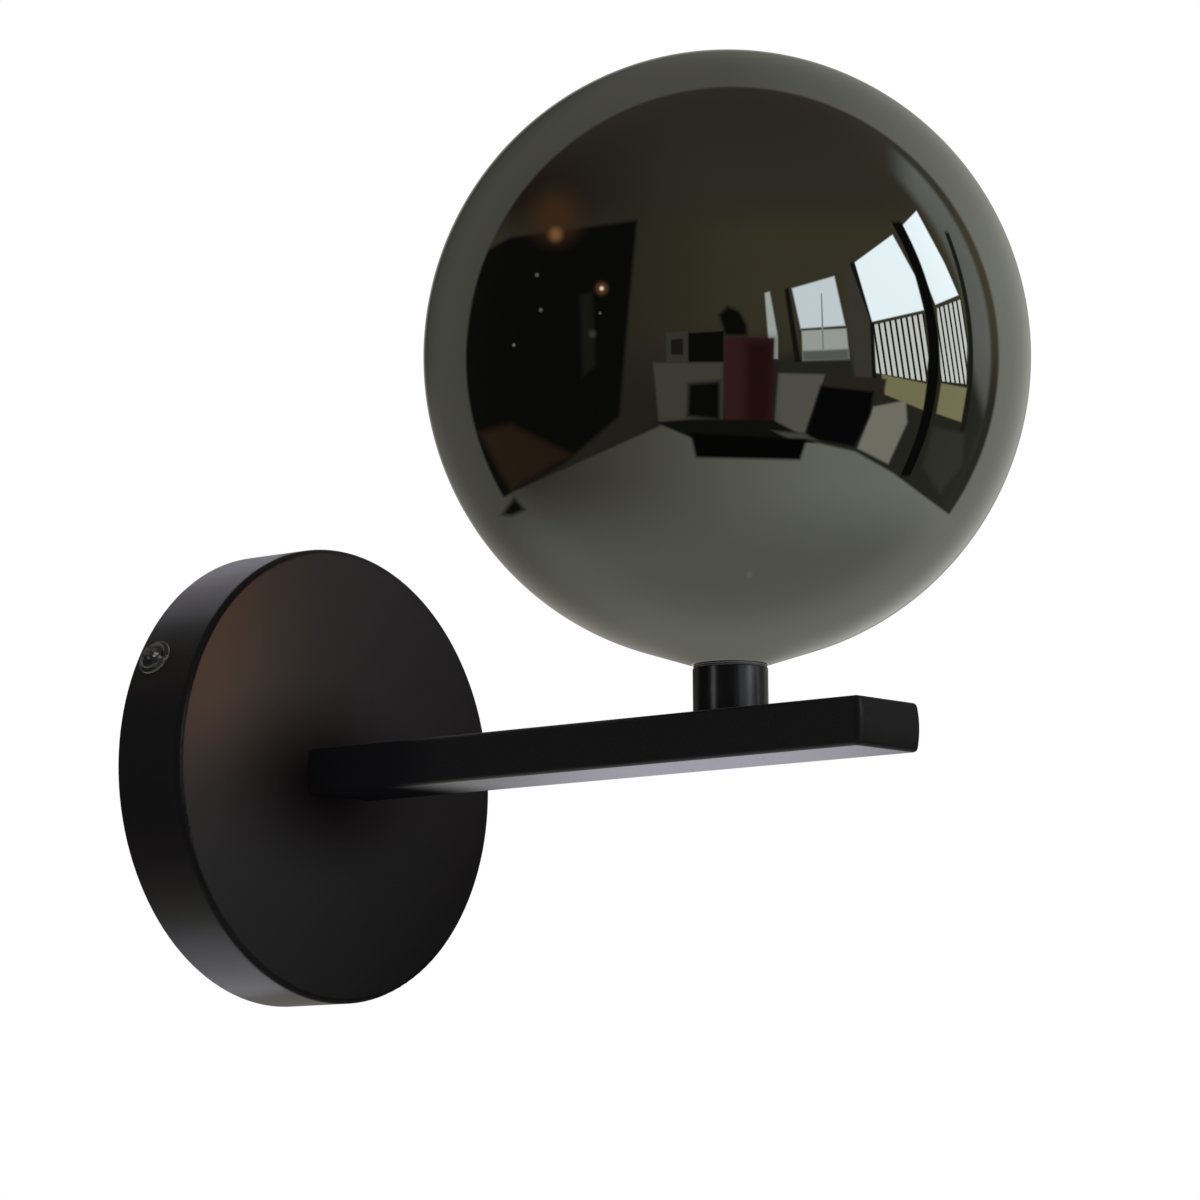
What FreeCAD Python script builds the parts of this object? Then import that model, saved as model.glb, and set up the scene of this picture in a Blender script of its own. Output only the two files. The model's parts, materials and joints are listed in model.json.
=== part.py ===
import FreeCAD, Part
import math
import os
import re
import Sketcher

# A wall light: a round cup-shaped rose on a hidden bracket, a flat arm that stands out from its centre,
# a short stem near the arm's end, and a mirrored glass globe that screws onto the stem over a two-pin lamp.
# Millimetres. The origin is the centre of the rose's back plane on the wall, +Z is up, and the light
# stands out from the wall along -Y.

SIZES = (
    # The rose: a spun cup that covers the bracket.
    ("rose_diameter", 120.0, "outer diameter of the rose"),
    ("rose_depth", 22.0, "how far its face stands out from the wall"),
    ("rose_wall", 1.2, "sheet thickness of the cup"),
    ("rose_edge_radius", 1.5, "outer radius between side wall and face"),
    # The bracket behind it: a bar with two bent ears, and a wing that carries the terminal block.
    ("bracket_angle", 152.7, "direction of the bar, in degrees from +X, seen from in front"),
    ("bracket_width", 20.0, "width of the bar"),
    ("bracket_gauge", 1.5, "sheet thickness of the bracket"),
    ("bend_radius", 1.2, "inner radius of its bends"),
    ("ear_height", 13.0, "how far the ears stand out from the wall"),
    ("ear_clearance", 0.3, "room between the ears' edges and the rose"),
    ("sheet_corner", 2.5, "corner radius of the cut sheet"),
    ("wall_hole_spacing", 70.0, "distance between the two wall screw holes"),
    ("wall_hole_diameter", 5.2, "wall screw holes"),
    ("slot_width", 4.6, "width of the spare slots"),
    ("slot_length", 14.0, "length of the spare slots, end to end"),
    ("slot_place", 21.5, "middle of each slot, from the centre"),
    ("cable_hole_diameter", 13.0, "hole for the supply at the centre"),
    ("wing_width", 32.0, "width of the wing"),
    ("wing_reach", 36.0, "far edge of the wing, from the centre"),
    ("tab_width", 9.0, "width of the earth tab at the wing's edge"),
    ("tab_height", 12.0, "how far the earth tab stands out from the wall"),
    ("tab_place", 11.5, "middle of the earth tab, from the wing's middle"),
    # Screws.
    ("side_screw_height", 6.6, "axis of the two side screws, from the wall"),
    ("side_screw_diameter", 4.0, "thread diameter of the side screws"),
    ("side_screw_length", 10.0, "length under the head"),
    ("side_flange_diameter", 9.5, "washer face of the side screw's head"),
    ("side_flange_thickness", 0.9, "thickness of that washer face"),
    ("side_dome_diameter", 7.4, "dome of the side screw's head"),
    ("side_dome_height", 2.1, "height of the dome above the washer face"),
    ("side_dome_radius", 4.6, "radius of the dome's curve"),
    ("side_seat_gap", 0.15, "room between the rose and the head"),
    ("earth_screw_diameter", 4.0, "thread diameter of the earth screw"),
    ("earth_screw_length", 5.0, "length under its head"),
    ("earth_screw_height", 7.0, "axis of the earth screw, from the wall"),
    ("small_head_diameter", 7.0, "head of the earth screw"),
    ("small_head_height", 2.4, "height of that head"),
    ("block_screw_diameter", 3.0, "thread diameter of the screw through the terminal block"),
    ("block_head_diameter", 4.8, "head of that screw"),
    ("block_head_height", 1.8, "height of that head"),
    # Clearances that everything shares.
    ("hole_clearance", 0.25, "room round a screw or dowel in a plain hole"),
    ("thread_clearance", 0.05, "room between a thread and its nut"),
    ("weld_gap", 0.05, "room between pieces that are welded or glued"),
    ("seat_gap", 0.1, "room under a piece that is lifted or turned"),
    ("turn_clearance", 0.3, "room round a piece that is turned or pulled"),
    # Two-way terminal block.
    ("pole_pitch", 8.0, "distance between its poles"),
    ("block_length", 17.0, "length along the wires"),
    ("block_height", 12.0, "height above the bracket"),
    ("block_shoulder", 7.5, "height of its wider lower part"),
    ("block_step", 2.2, "how far the upper part steps in"),
    ("block_place", 22.5, "its middle, from the centre"),
    ("insert_diameter", 4.8, "brass inserts"),
    ("insert_bore", 3.0, "their bore"),
    ("insert_length", 15.0, "their length"),
    ("insert_height", 4.4, "their axis, from the block's foot"),
    ("clamp_screw_diameter", 2.5, "clamping screws"),
    ("clamp_head_diameter", 3.5, "their heads"),
    ("clamp_head_height", 1.6, "height of those heads"),
    ("clamp_spacing", 8.5, "distance between the two clamping screws of a pole"),
    # The hollow threaded nipples, their nuts and washers.
    ("nipple_diameter", 8.0, "thread diameter of both nipples"),
    ("nipple_bore", 6.0, "bore of both nipples"),
    ("nipple_proud", 0.6, "how far a nipple stands past its nut"),
    ("nut_width", 12.0, "nuts, across the flats"),
    ("nut_height", 3.0, "height of the nuts"),
    ("nut_chamfer", 0.5, "chamfer of the nuts' corners"),
    ("washer_gauge", 0.8, "thickness of the lock washers"),
    ("washer_diameter", 13.0, "outer diameter of the lock washers"),
    ("washer_split", 1.2, "gap in a lock washer"),
    ("bush_wall", 0.5, "wall of the plastic bush in the nipple's end"),
    ("bush_flange", 9.0, "its flange diameter"),
    ("bush_length", 5.0, "how far it goes into the nipple"),
    # Earth ring terminals.
    ("terminal_gauge", 0.8, "sheet thickness of the ring terminals"),
    ("barrel_diameter", 3.4, "their crimp barrels"),
    ("barrel_length", 5.0, "length of a barrel"),
    ("tongue_width", 3.4, "width of the tongue between ring and barrel"),
    ("arm_ring_diameter", 13.0, "ring on the arm's nipple"),
    ("tab_ring_diameter", 7.6, "ring under the earth screw"),
    ("tongue_length", 2.0, "from a ring's edge to its barrel"),
    # Wires.
    ("wire_diameter", 1.6, "live and neutral wire"),
    ("earth_wire_diameter", 2.0, "earth wire"),
    ("wire_entry", 4.0, "how far a lamp wire reaches into its brass insert"),
    ("wire_exit", 5.0, "its straight stretch out of the terminal block"),
    ("wire_shift", 1.1, "how far each lamp wire lies beside the nipples' axes"),
    ("wire_spread", 2.2, "how far each lamp wire lies beside the arm's middle"),
    ("wire_turn_below", 3.6, "where the lamp wires begin to turn into the arm's nipple, below its axis"),
    ("wire_turn_rise", 0.5, "how far they have risen off the bracket there"),
    ("wire_turn_out", 4.0, "how far they stand off the bracket where the turn ends"),
    ("wire_lead", 6.0, "their straight stretch into the arm's nipple"),
    ("wire_tail", 5.0, "their straight stretch out of its other end"),
    ("wire_waver", 0.4, "how far they waver along their way"),
    ("wire_last_run", 9.0, "from their last bend in the arm to the stem's axis"),
    ("wire_edge_room", 0.4, "from a bend in the stem to the edge above it"),
    ("earth_entry", 1.0, "how far inside its barrels the earth wire begins"),
    ("earth_lead", 5.5, "its straight stretch out of the arm's ring terminal"),
    ("earth_tail", 2.5, "its straight stretch into the tab's ring terminal"),
    # The arm.
    ("arm_width", 25.0, "width of the flat tube"),
    ("arm_height", 12.0, "height of the flat tube"),
    ("arm_wall", 1.2, "its wall"),
    ("arm_edge_radius", 1.3, "radius along its edges"),
    ("arm_reach", 200.0, "end corners of the arm, from the wall"),
    ("cap_length", 4.0, "end cap, from the tube's end to the corners"),
    ("cap_bulge", 0.8, "how far the middle of the cap swells out"),
    ("cap_spigot", 6.0, "how far the cap goes into the tube"),
    ("plug_length", 14.0, "threaded plug in the arm's wall end"),
    ("root_thread", 11.0, "how far the nipple screws into that plug"),
    ("dowel_diameter", 3.0, "two dowels that stop the arm turning"),
    ("dowel_length", 8.0, "length of the dowels"),
    ("dowel_spacing", 16.0, "distance between them"),
    # The stem and its cup.
    ("stem_position", 152.5, "axis of stem and globe, from the wall"),
    ("stem_diameter", 18.6, "outer diameter of the cup"),
    ("stem_height", 13.4, "height of the cup above the arm"),
    ("stem_floor", 1.5, "thickness of its floor"),
    ("stem_chamfer", 0.4, "chamfer at its foot and rim"),
    ("weld_nut_width", 12.0, "square nut under the arm's top wall"),
    ("weld_nut_height", 3.0, "height of that nut"),
    # The threaded collar and the lampholder in it.
    ("collar_diameter", 16.0, "outer diameter of the collar's thread"),
    ("collar_gauge", 0.8, "its wall"),
    ("collar_lip", 1.4, "how far its foot turns in under the lampholder"),
    ("collar_in_stem", 4.8, "how far it screws into the cup"),
    ("collar_above_stem", 11.2, "how far it stands above the cup"),
    ("holder_clearance", 0.1, "room round the lampholder in the collar"),
    ("holder_height", 14.5, "height of the ceramic lampholder"),
    ("pin_spacing", 9.0, "distance between the lamp's two pins"),
    ("contact_slot_width", 3.2, "slots in the ceramic, along the pins' row"),
    ("contact_slot_depth_across", 3.4, "slots in the ceramic, across the row"),
    ("contact_slot_depth", 11.0, "depth of the slots"),
    ("wire_hole_diameter", 2.4, "holes under the slots for the wires"),
    ("wire_hole_shift", 0.5, "how far these holes lie inwards of the pins"),
    ("contact_gauge", 0.3, "spring strip of the contacts"),
    ("contact_width", 2.4, "width of that strip"),
    ("contact_height", 9.0, "height of a contact"),
    ("circlip_gauge", 0.6, "ring that keeps the lampholder down"),
    ("circlip_width", 0.9, "width of that ring"),
    ("circlip_gap", 2.6, "opening of that ring"),
    # The globe.
    ("gasket_thickness", 0.5, "silicone ring under the globe"),
    ("gasket_diameter", 17.8, "its outer diameter"),
    ("thread_ring_gauge", 0.5, "wall of the threaded ring in the globe"),
    ("thread_ring_flange", 0.4, "thickness of its flange under the glass"),
    ("thread_ring_flange_diameter", 18.4, "diameter of that flange"),
    ("thread_ring_height", 10.5, "its height"),
    ("glue_gap", 0.15, "cement between ring and glass"),
    ("globe_diameter", 151.0, "outer diameter of the globe"),
    ("globe_wall", 2.0, "thickness of the glass"),
    ("globe_lip_radius", 0.5, "rounded edge of its opening"),
    # The lamp.
    ("lamp_base_diameter", 13.8, "foot of the lamp"),
    ("lamp_base_height", 9.0, "height of the foot"),
    ("lamp_diameter", 15.0, "envelope of the lamp"),
    ("lamp_height", 36.0, "height of the envelope above the foot"),
    ("lamp_wall", 0.8, "wall of the envelope"),
    ("lamp_spigot", 2.0, "how far the foot goes into the envelope"),
    ("pin_length", 7.0, "length of the pins"),
    ("pin_wire", 0.7, "wire of the pins"),
    ("pin_loop_radius", 0.85, "radius of a pin's loop, at the wire's middle"),
    ("board_width", 9.0, "width of the lamp's circuit board"),
    ("board_gauge", 1.0, "its thickness"),
    ("board_height", 25.0, "its height"),
    ("chip_width", 2.8, "width of a light chip"),
    ("chip_height", 1.6, "height of a light chip"),
    ("chip_thickness", 0.5, "how far a chip stands off the board"),
    ("chip_pitch", 3.6, "distance from chip to chip"),
)

DERIVED = (
    ("rose_radius", "rose_diameter / 2", "rose, outside"),
    ("rose_bore_radius", "rose_radius - rose_wall", "rose, inside"),
    ("rose_back_of_face", "rose_depth - rose_wall", "inner side of the rose's face"),
    ("ear_face", "sqrt(rose_bore_radius ^ 2 - (bracket_width / 2) ^ 2) - ear_clearance", "ear, outside"),
    ("side_screw_seat", "rose_radius + side_seat_gap", "underside of a side screw's head"),
    ("nipple_radius", "nipple_diameter / 2", "both nipples"),
    ("nipple_hole", "nipple_radius + hole_clearance", "plain holes for the nipples"),
    ("arm_ring_face", "rose_back_of_face - washer_gauge", "ring terminal, on the lock washer"),
    ("arm_nut_face", "arm_ring_face - terminal_gauge", "arm nut, on the ring terminal"),
    ("arm_nipple_start", "arm_nut_face - nut_height - nipple_proud", "inner end of the arm's nipple"),
    ("arm_nipple_end", "rose_depth + root_thread", "outer end of the arm's nipple"),
    ("insert_axis", "bracket_gauge + insert_height", "axis of the brass inserts, from the wall"),
    ("arm_top", "arm_height / 2", "top of the arm, from its middle"),
    ("tube_end", "arm_reach - cap_length", "where the cap meets the tube"),
    ("bore_half_width", "arm_width / 2 - arm_wall", "inside of the tube"),
    ("bore_half_height", "arm_height / 2 - arm_wall", "inside of the tube"),
    ("stem_floor_top", "arm_top + stem_floor", "floor of the cup"),
    ("stem_nut_foot", "stem_floor_top + washer_gauge", "foot of the stem nut"),
    ("stem_nipple_top", "stem_nut_foot + nut_height + nipple_proud", "top of the stem's nipple"),
    ("weld_nut_top", "arm_top - arm_wall", "top of the welded nut"),
    ("weld_nut_foot", "weld_nut_top - weld_nut_height", "foot of the welded nut and the nipple"),
    ("stem_top", "arm_top + stem_height", "rim of the cup"),
    ("collar_radius", "collar_diameter / 2", "collar, outside"),
    ("collar_bore", "collar_radius - collar_gauge", "collar, inside"),
    ("collar_foot", "stem_top - collar_in_stem", "foot of the collar"),
    ("collar_top", "stem_top + collar_above_stem", "top of the collar"),
    ("holder_radius", "collar_bore - holder_clearance", "lampholder"),
    ("holder_foot", "collar_foot + collar_gauge", "foot of the lampholder"),
    ("holder_top", "holder_foot + holder_height", "top of the lampholder"),
    ("lamp_seat", "collar_top + seat_gap * 2", "foot of the lamp"),
    ("lamp_base_top", "lamp_seat + lamp_base_height", "top of the lamp's foot"),
    ("lamp_top", "lamp_base_top + lamp_height", "top of the lamp"),
    ("lamp_inside", "lamp_diameter / 2 - lamp_wall", "envelope, inside"),
    ("contact_gap", "pin_wire / 2 + turn_clearance", "from a pin's middle to the contact beside it"),
    ("contact_foot", "holder_top - contact_slot_depth + seat_gap", "foot of a contact"),
    ("gasket_foot", "stem_top + seat_gap", "foot of the gasket"),
    ("thread_ring_foot", "gasket_foot + gasket_thickness + seat_gap", "foot of the threaded ring"),
    ("thread_ring_bore", "collar_radius + turn_clearance", "threaded ring, inside"),
    ("thread_ring_outside", "thread_ring_bore + thread_ring_gauge", "threaded ring, outside"),
    ("globe_radius", "globe_diameter / 2", "globe, outside"),
    ("globe_opening", "thread_ring_outside + glue_gap", "radius of the globe's opening"),
    ("glass_edge", "thread_ring_foot + thread_ring_flange + weld_gap", "lowest edge of the glass"),
    ("globe_centre", "glass_edge + sqrt(globe_radius ^ 2 - globe_opening ^ 2)", "middle of the globe"),
)

SHEET = "Sizes"
START, END, CENTRE = range(1, 4)
LEVEL_AXIS, UPRIGHT_AXIS = range(-1, -3, -1)
ORIGIN = LEVEL_AXIS
FULL_TURN, RIGHT_ANGLE = 360.0, 90.0
ARC_SHARE, VOLUME_TOLERANCE = 0.45, 0.02
# How the two lamp wires fan out at the terminal block and at the mouth of the arm's nipple, as shares.
BLOCK_FAN, MOUTH_FAN = 0.85, 1.3
# Bends of the lamp wires inside the arm: share of the way, of the spread and of the waver.
ARM_BENDS = ((0.19, 1.0, 0.0), (0.47, 1.3, 1.0), (0.76, 0.9, 0.0))
# Bends of the earth wire behind the rose: along and across the bar as shares of the cup's inner
# radius, and outwards as a share of its inner depth.
EARTH_BENDS = ((-0.578, 0.136, 0.721), (-0.663, 0.357, 0.529), (-0.578, 0.561, 0.385))
NAMES = {row[0] for row in SIZES + DERIVED}
WORD = re.compile(r"[A-Za-z_][A-Za-z0-9_]*")

OUT = FreeCAD.Vector(0, 0, 1)
RIGHT = FreeCAD.Vector(1, 0, 0)
TO_WALL_FRAME = FreeCAD.Rotation(RIGHT, RIGHT_ANGLE)

doc = FreeCAD.newDocument("globe_wall_sconce")
sheet = doc.addObject("Spreadsheet::Sheet", SHEET)
nodes = []


# ---------------------------------------------------------------- the sheet and its formulas

def fill_sheet():
    """Writes every driving size as a number and every derived size as a formula."""
    rows = [(name, str(number), note) for name, number, note in SIZES]
    rows += [(name, "=" + text, note) for name, text, note in DERIVED]
    for line, (name, content, note) in enumerate(rows, start=1):
        sheet.set(f"A{line}", note)
        sheet.set(f"B{line}", content)
        sheet.setAlias(f"B{line}", name)
    doc.recompute()


def formula(text):
    """Turns plain size names into references to the sheet."""
    return WORD.sub(lambda word: f"{SHEET}.{word[0]}" if word[0] in NAMES else word[0], text)


def value(text):
    """The number that a formula gives now."""
    return float(sheet.evalExpression(formula(text)))


# ---------------------------------------------------------------- bodies, sketches and features

def new_body(name):
    body = doc.addObject("PartDesign::Body", name)
    body.Label = name
    nodes.append(body)
    return body


def place(body, across="0", outwards="0", up="0", turn=None):
    """Puts a body at a point of the row's frame, turned as given."""
    if turn is not None:
        body.Placement = FreeCAD.Placement(FreeCAD.Vector(), turn)
    for axis, text in (("x", across), ("y", f"-({outwards})"), ("z", up)):
        body.setExpression(f".Placement.Base.{axis}", formula(text))


def bracket_turn():
    """X along the bar towards the visible side screw, Z out of the wall."""
    return TO_WALL_FRAME.multiply(FreeCAD.Rotation(OUT, value("bracket_angle")))


def sketch_on(body, plane, name, offset=None):
    sketch = body.newObject("Sketcher::SketchObject", f"{body.Name}_{name}")
    support = [item for item in body.Origin.OriginFeatures if item.Role == plane]
    sketch.AttachmentSupport = [(support[0], "")]
    sketch.MapMode = "FlatFace"
    if offset is not None:
        sketch.setExpression(".AttachmentOffset.Base.z", formula(offset))
    return sketch


def pin(sketch, item, point, across, up):
    """Fixes a point of a sketch to the origin by two formulas."""
    for kind, text, axis in (("DistanceX", across, UPRIGHT_AXIS), ("DistanceY", up, LEVEL_AXIS)):
        if text == "0":
            sketch.addConstraint(Sketcher.Constraint("PointOnObject", item, point, axis))
            continue
        rule = Sketcher.Constraint(kind, ORIGIN, START, item, point, value(text))
        index = sketch.addConstraint(rule)
        sketch.setExpression(f"Constraints[{index}]", formula(text))


def measure(sketch, kind, item, text):
    index = sketch.addConstraint(Sketcher.Constraint(kind, item, value(text)))
    sketch.setExpression(f"Constraints[{index}]", formula(text))


def arc_between(start, end, radius, side):
    """An arc of under a half circle. Its centre lies left of the way for side 1 and right for side -1."""
    chord = end - start
    half = chord.Length / 2
    left = FreeCAD.Vector(-chord.y, chord.x, 0).normalize()
    centre = (start + end) / 2 + left * side * math.sqrt(radius ** 2 - half ** 2)
    first, last = (start, end) if side > 0 else (end, start)
    angles = [math.atan2(point.y - centre.y, point.x - centre.x) for point in (first, last)]
    return Part.ArcOfCircle(Part.Circle(centre, OUT, radius), angles[0], angles[1])


def outline(sketch, corners):
    """Closed outline. A corner is (across, up), or (across, up, radius, side) where an arc leaves it."""
    points = [FreeCAD.Vector(value(corner[0]), value(corner[1]), 0) for corner in corners]
    starts = []
    ends = []
    for index, corner in enumerate(corners):
        here, there = points[index], points[(index + 1) % len(points)]
        if len(corner) == 2:
            item = sketch.addGeometry(Part.LineSegment(here, there), False)
            forward = True
        else:
            item = sketch.addGeometry(arc_between(here, there, value(corner[2]), corner[3]), False)
            measure(sketch, "Radius", item, corner[2])
            forward = corner[3] > 0
        starts.append((item, START if forward else END))
        ends.append((item, END if forward else START))
    for index, corner in enumerate(corners):
        item, point = starts[index]
        sketch.addConstraint(Sketcher.Constraint("Coincident", *ends[index - 1], item, point))
        pin(sketch, item, point, corner[0], corner[1])


def rectangle(sketch, left, right, low, high):
    outline(sketch, ((left, low), (right, low), (right, high), (left, high)))


def circle(sketch, radius, across="0", up="0"):
    middle = FreeCAD.Vector(value(across), value(up), 0)
    item = sketch.addGeometry(Part.Circle(middle, OUT, value(radius)), False)
    pin(sketch, item, CENTRE, across, up)
    measure(sketch, "Radius", item, radius)


def hexagon(sketch, across_flats):
    """A hexagon with two flats parallel to the sketch's level axis."""
    half = f"({across_flats}) / 2"
    corner = f"({across_flats}) / sqrt(3)"
    outline(sketch, (
        (corner, "0"), (f"{corner} / 2", half), (f"-{corner} / 2", half),
        (f"-{corner}", "0"), (f"-{corner} / 2", f"-{half}"), (f"{corner} / 2", f"-{half}"),
    ))


def pad(body, sketch, length, symmetric=False):
    feature = body.newObject("PartDesign::Pad", f"{sketch.Name}_pad")
    feature.Profile = sketch
    feature.SideType = "Symmetric" if symmetric else "One side"
    feature.setExpression("Length", formula(length))
    doc.recompute()
    return feature


def spin(body, sketch, axis="V_Axis"):
    feature = body.newObject("PartDesign::Revolution", f"{sketch.Name}_spin")
    feature.Profile = sketch
    feature.ReferenceAxis = (sketch, [axis])
    feature.Angle = FULL_TURN
    doc.recompute()
    return feature


def pocket(body, sketch, depth=None, symmetric=False, reverse=False):
    """Cuts a sketch out of the body, right through where no depth is given, and sees that it cut."""
    before = body.Tip.Shape.Volume
    feature = body.newObject("PartDesign::Pocket", f"{sketch.Name}_cut")
    feature.Profile = sketch
    feature.SideType = "Symmetric" if symmetric else "One side"
    feature.Reversed = reverse
    if depth is None:
        feature.Type = "ThroughAll"
    else:
        feature.setExpression("Length", formula(depth))
    doc.recompute()
    if not feature.Shape.Volume < before:
        raise RuntimeError(f"{feature.Name} cuts nothing")
    return feature


def edges_where(shape, test):
    """Names of the edges that pass a test, the poles of spheres left out."""
    edges = enumerate(shape.Edges, start=1)
    return [f"Edge{number}" for number, edge in edges if not edge.Degenerated and test(edge)]


def dress(body, kind, amount, test):
    """Fillets or chamfers the edges of the body that pass the test."""
    base = body.Tip
    chosen = edges_where(base.Shape, test)
    if not chosen:
        raise RuntimeError(f"{body.Name} has no edge to dress")
    feature = body.newObject(f"PartDesign::{kind}", f"{body.Name}_{kind}")
    feature.Base = (base, chosen)
    feature.setExpression("Radius" if kind == "Fillet" else "Size", formula(amount))
    doc.recompute()
    return feature


def is_straight(edge, direction):
    if not isinstance(edge.Curve, Part.Line):
        return False
    return abs(abs(edge.Curve.Direction.dot(direction)) - 1) < 1e-6


def near(number, target):
    return abs(number - target) < 1e-4


def twice_about_axis(body, originals, axis):
    """A second copy of some features, half a turn about an axis of the body."""
    pattern = body.newObject("PartDesign::PolarPattern", f"{body.Name}_pair")
    pattern.Originals = originals
    line = [item for item in body.Origin.OriginFeatures if item.Role == axis]
    pattern.Axis = (line[0], [""])
    pattern.Angle = FULL_TURN
    pattern.Occurrences = 2
    body.Tip = pattern
    doc.recompute()


def turned(name, corners):
    """A turned piece: its half outline, radius and height, spun about the body's upright axis."""
    body = new_body(name)
    sketch = sketch_on(body, "XZ_Plane", "half")
    outline(sketch, corners)
    spin(body, sketch)
    return body


def ring_corners(inside, outside, low, high):
    return ((inside, low), (outside, low), (outside, high), (inside, high))


# ---------------------------------------------------------------- rose and bracket

def make_rose():
    """The spun cup, with a nipple hole, two dowel holes and two holes for the side screws."""
    rose = turned("rose_cup", (
        ("rose_radius", "0"),
        ("rose_radius", "rose_depth - rose_edge_radius", "rose_edge_radius", 1),
        ("rose_radius - rose_edge_radius", "rose_depth"),
        ("nipple_hole", "rose_depth"),
        ("nipple_hole", "rose_back_of_face"),
        ("rose_bore_radius", "rose_back_of_face"),
        ("rose_bore_radius", "0"),
    ))
    side = sketch_on(rose, "YZ_Plane", "side_holes")
    circle(side, "side_screw_diameter / 2 + hole_clearance", "0", "side_screw_height")
    pocket(rose, side, symmetric=True)
    dowels = sketch_on(rose, "XY_Plane", "dowel_holes")
    across = "dowel_spacing / 2 * cos(bracket_angle)"
    up = "dowel_spacing / 2 * sin(bracket_angle)"
    circle(dowels, "dowel_diameter / 2 + hole_clearance", across, f"-{up}")
    circle(dowels, "dowel_diameter / 2 + hole_clearance", f"-{across}", up)
    pocket(rose, dowels, symmetric=True)
    place(rose, turn=bracket_turn())


def bracket_sheet(bracket):
    """The flat bar and its wing, then the ears and the earth tab that are bent out of it."""
    flat = sketch_on(bracket, "XY_Plane", "flat")
    half, wing = "bracket_width / 2", "wing_width / 2"
    outline(flat, (
        ("-ear_face", f"-{half}"), ("ear_face", f"-{half}"), ("ear_face", half), (wing, half),
        (wing, "wing_reach"), (f"-{wing}", "wing_reach"), (f"-{wing}", half), ("-ear_face", half),
    ))
    pad(bracket, flat, "bracket_gauge")
    ears = sketch_on(bracket, "XY_Plane", "ears")
    rectangle(ears, "ear_face - bracket_gauge", "ear_face", f"-{half}", half)
    rectangle(ears, "-ear_face", "bracket_gauge - ear_face", f"-{half}", half)
    pad(bracket, ears, "ear_height")
    tab = sketch_on(bracket, "XY_Plane", "tab")
    left, right = "-tab_place - tab_width / 2", "-tab_place + tab_width / 2"
    rectangle(tab, left, right, "wing_reach - bracket_gauge", "wing_reach")
    pad(bracket, tab, "tab_height")


def bracket_bends(bracket):
    """Inner and outer bend radii, then the rounded corners of ears, tab and wing."""
    gauge, face, reach = value("bracket_gauge"), value("ear_face"), value("wing_reach")

    def inner_bend(edge):
        middle = edge.CenterOfMass
        on_ear = is_straight(edge, FreeCAD.Vector(0, 1, 0)) and near(abs(middle.x), face - gauge)
        on_tab = is_straight(edge, RIGHT) and near(middle.y, reach - gauge)
        return near(middle.z, gauge) and (on_ear or on_tab)

    def outer_bend(edge):
        middle = edge.CenterOfMass
        on_ear = is_straight(edge, FreeCAD.Vector(0, 1, 0)) and near(abs(middle.x), face)
        return on_ear and near(middle.z, 0)

    def ear_corner(edge):
        middle = edge.CenterOfMass
        on_ear = is_straight(edge, RIGHT) and near(middle.z, value("ear_height"))
        on_tab = is_straight(edge, FreeCAD.Vector(0, 1, 0)) and near(middle.z, value("tab_height"))
        return on_ear or on_tab

    dress(bracket, "Fillet", "bend_radius", inner_bend)
    dress(bracket, "Fillet", "bend_radius + bracket_gauge", outer_bend)
    dress(bracket, "Fillet", "sheet_corner", ear_corner)


def bracket_holes(bracket):
    """Wall holes, spare slots, the supply's hole, and the tapped holes for the three kinds of screw."""
    plan = sketch_on(bracket, "XY_Plane", "plan_holes")
    circle(plan, "wall_hole_diameter / 2", "wall_hole_spacing / 2", "0")
    circle(plan, "wall_hole_diameter / 2", "-wall_hole_spacing / 2", "0")
    circle(plan, "cable_hole_diameter / 2")
    circle(plan, "block_screw_diameter / 2 + thread_clearance", "0", "block_place")
    pocket(bracket, plan, symmetric=True)
    for side in ("", "-"):
        slot = sketch_on(bracket, "XY_Plane", "slot_left" if side else "slot_right")
        near_end = f"{side}(slot_place - slot_length / 2 + slot_width / 2)"
        far_end = f"{side}(slot_place + slot_length / 2 - slot_width / 2)"
        left, right = (far_end, near_end) if side else (near_end, far_end)
        slot_outline(slot, left, right, "slot_width / 2")
        pocket(bracket, slot, symmetric=True)
    side_holes = sketch_on(bracket, "YZ_Plane", "ear_holes")
    circle(side_holes, "side_screw_diameter / 2 + thread_clearance", "0", "side_screw_height")
    pocket(bracket, side_holes, symmetric=True)
    tab_hole = sketch_on(bracket, "XZ_Plane", "tab_hole")
    circle(tab_hole, "earth_screw_diameter / 2 + thread_clearance", "-tab_place", "earth_screw_height")
    pocket(bracket, tab_hole, symmetric=True)


def slot_outline(sketch, left, right, radius):
    """A slot with round ends, drawn as four quarter arcs and two lines."""
    outline(sketch, (
        (left, f"-{radius}"), (right, f"-{radius}", radius, 1),
        (f"{right} + {radius}", "0", radius, 1), (right, radius),
        (left, radius, radius, 1), (f"{left} - {radius}", "0", radius, 1),
    ))


def make_bracket():
    bracket = new_body("mounting_bracket")
    bracket_sheet(bracket)
    bracket_bends(bracket)
    bracket_holes(bracket)
    place(bracket, turn=bracket_turn())


def make_side_screws():
    """Two washer-head screws, through the rose's side into the ears."""
    screws = new_body("rose_side_screws")
    half = sketch_on(screws, "XZ_Plane", "half")
    washer = "side_screw_seat + side_flange_thickness"
    outline(half, (
        ("side_screw_seat - side_screw_length", "0"),
        ("side_screw_seat - side_screw_length", "side_screw_diameter / 2"),
        ("side_screw_seat", "side_screw_diameter / 2"),
        ("side_screw_seat", "side_flange_diameter / 2"),
        (washer, "side_flange_diameter / 2"),
        (washer, "side_dome_diameter / 2", "side_dome_radius", -1),
        (f"{washer} + side_dome_height", "side_dome_diameter / 5"),
        (f"{washer} + side_dome_height", "0"),
    ))
    screw = spin(screws, half, "H_Axis")
    twice_about_axis(screws, [screw], "Z_Axis")
    place(screws, outwards="side_screw_height", turn=bracket_turn())


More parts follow.
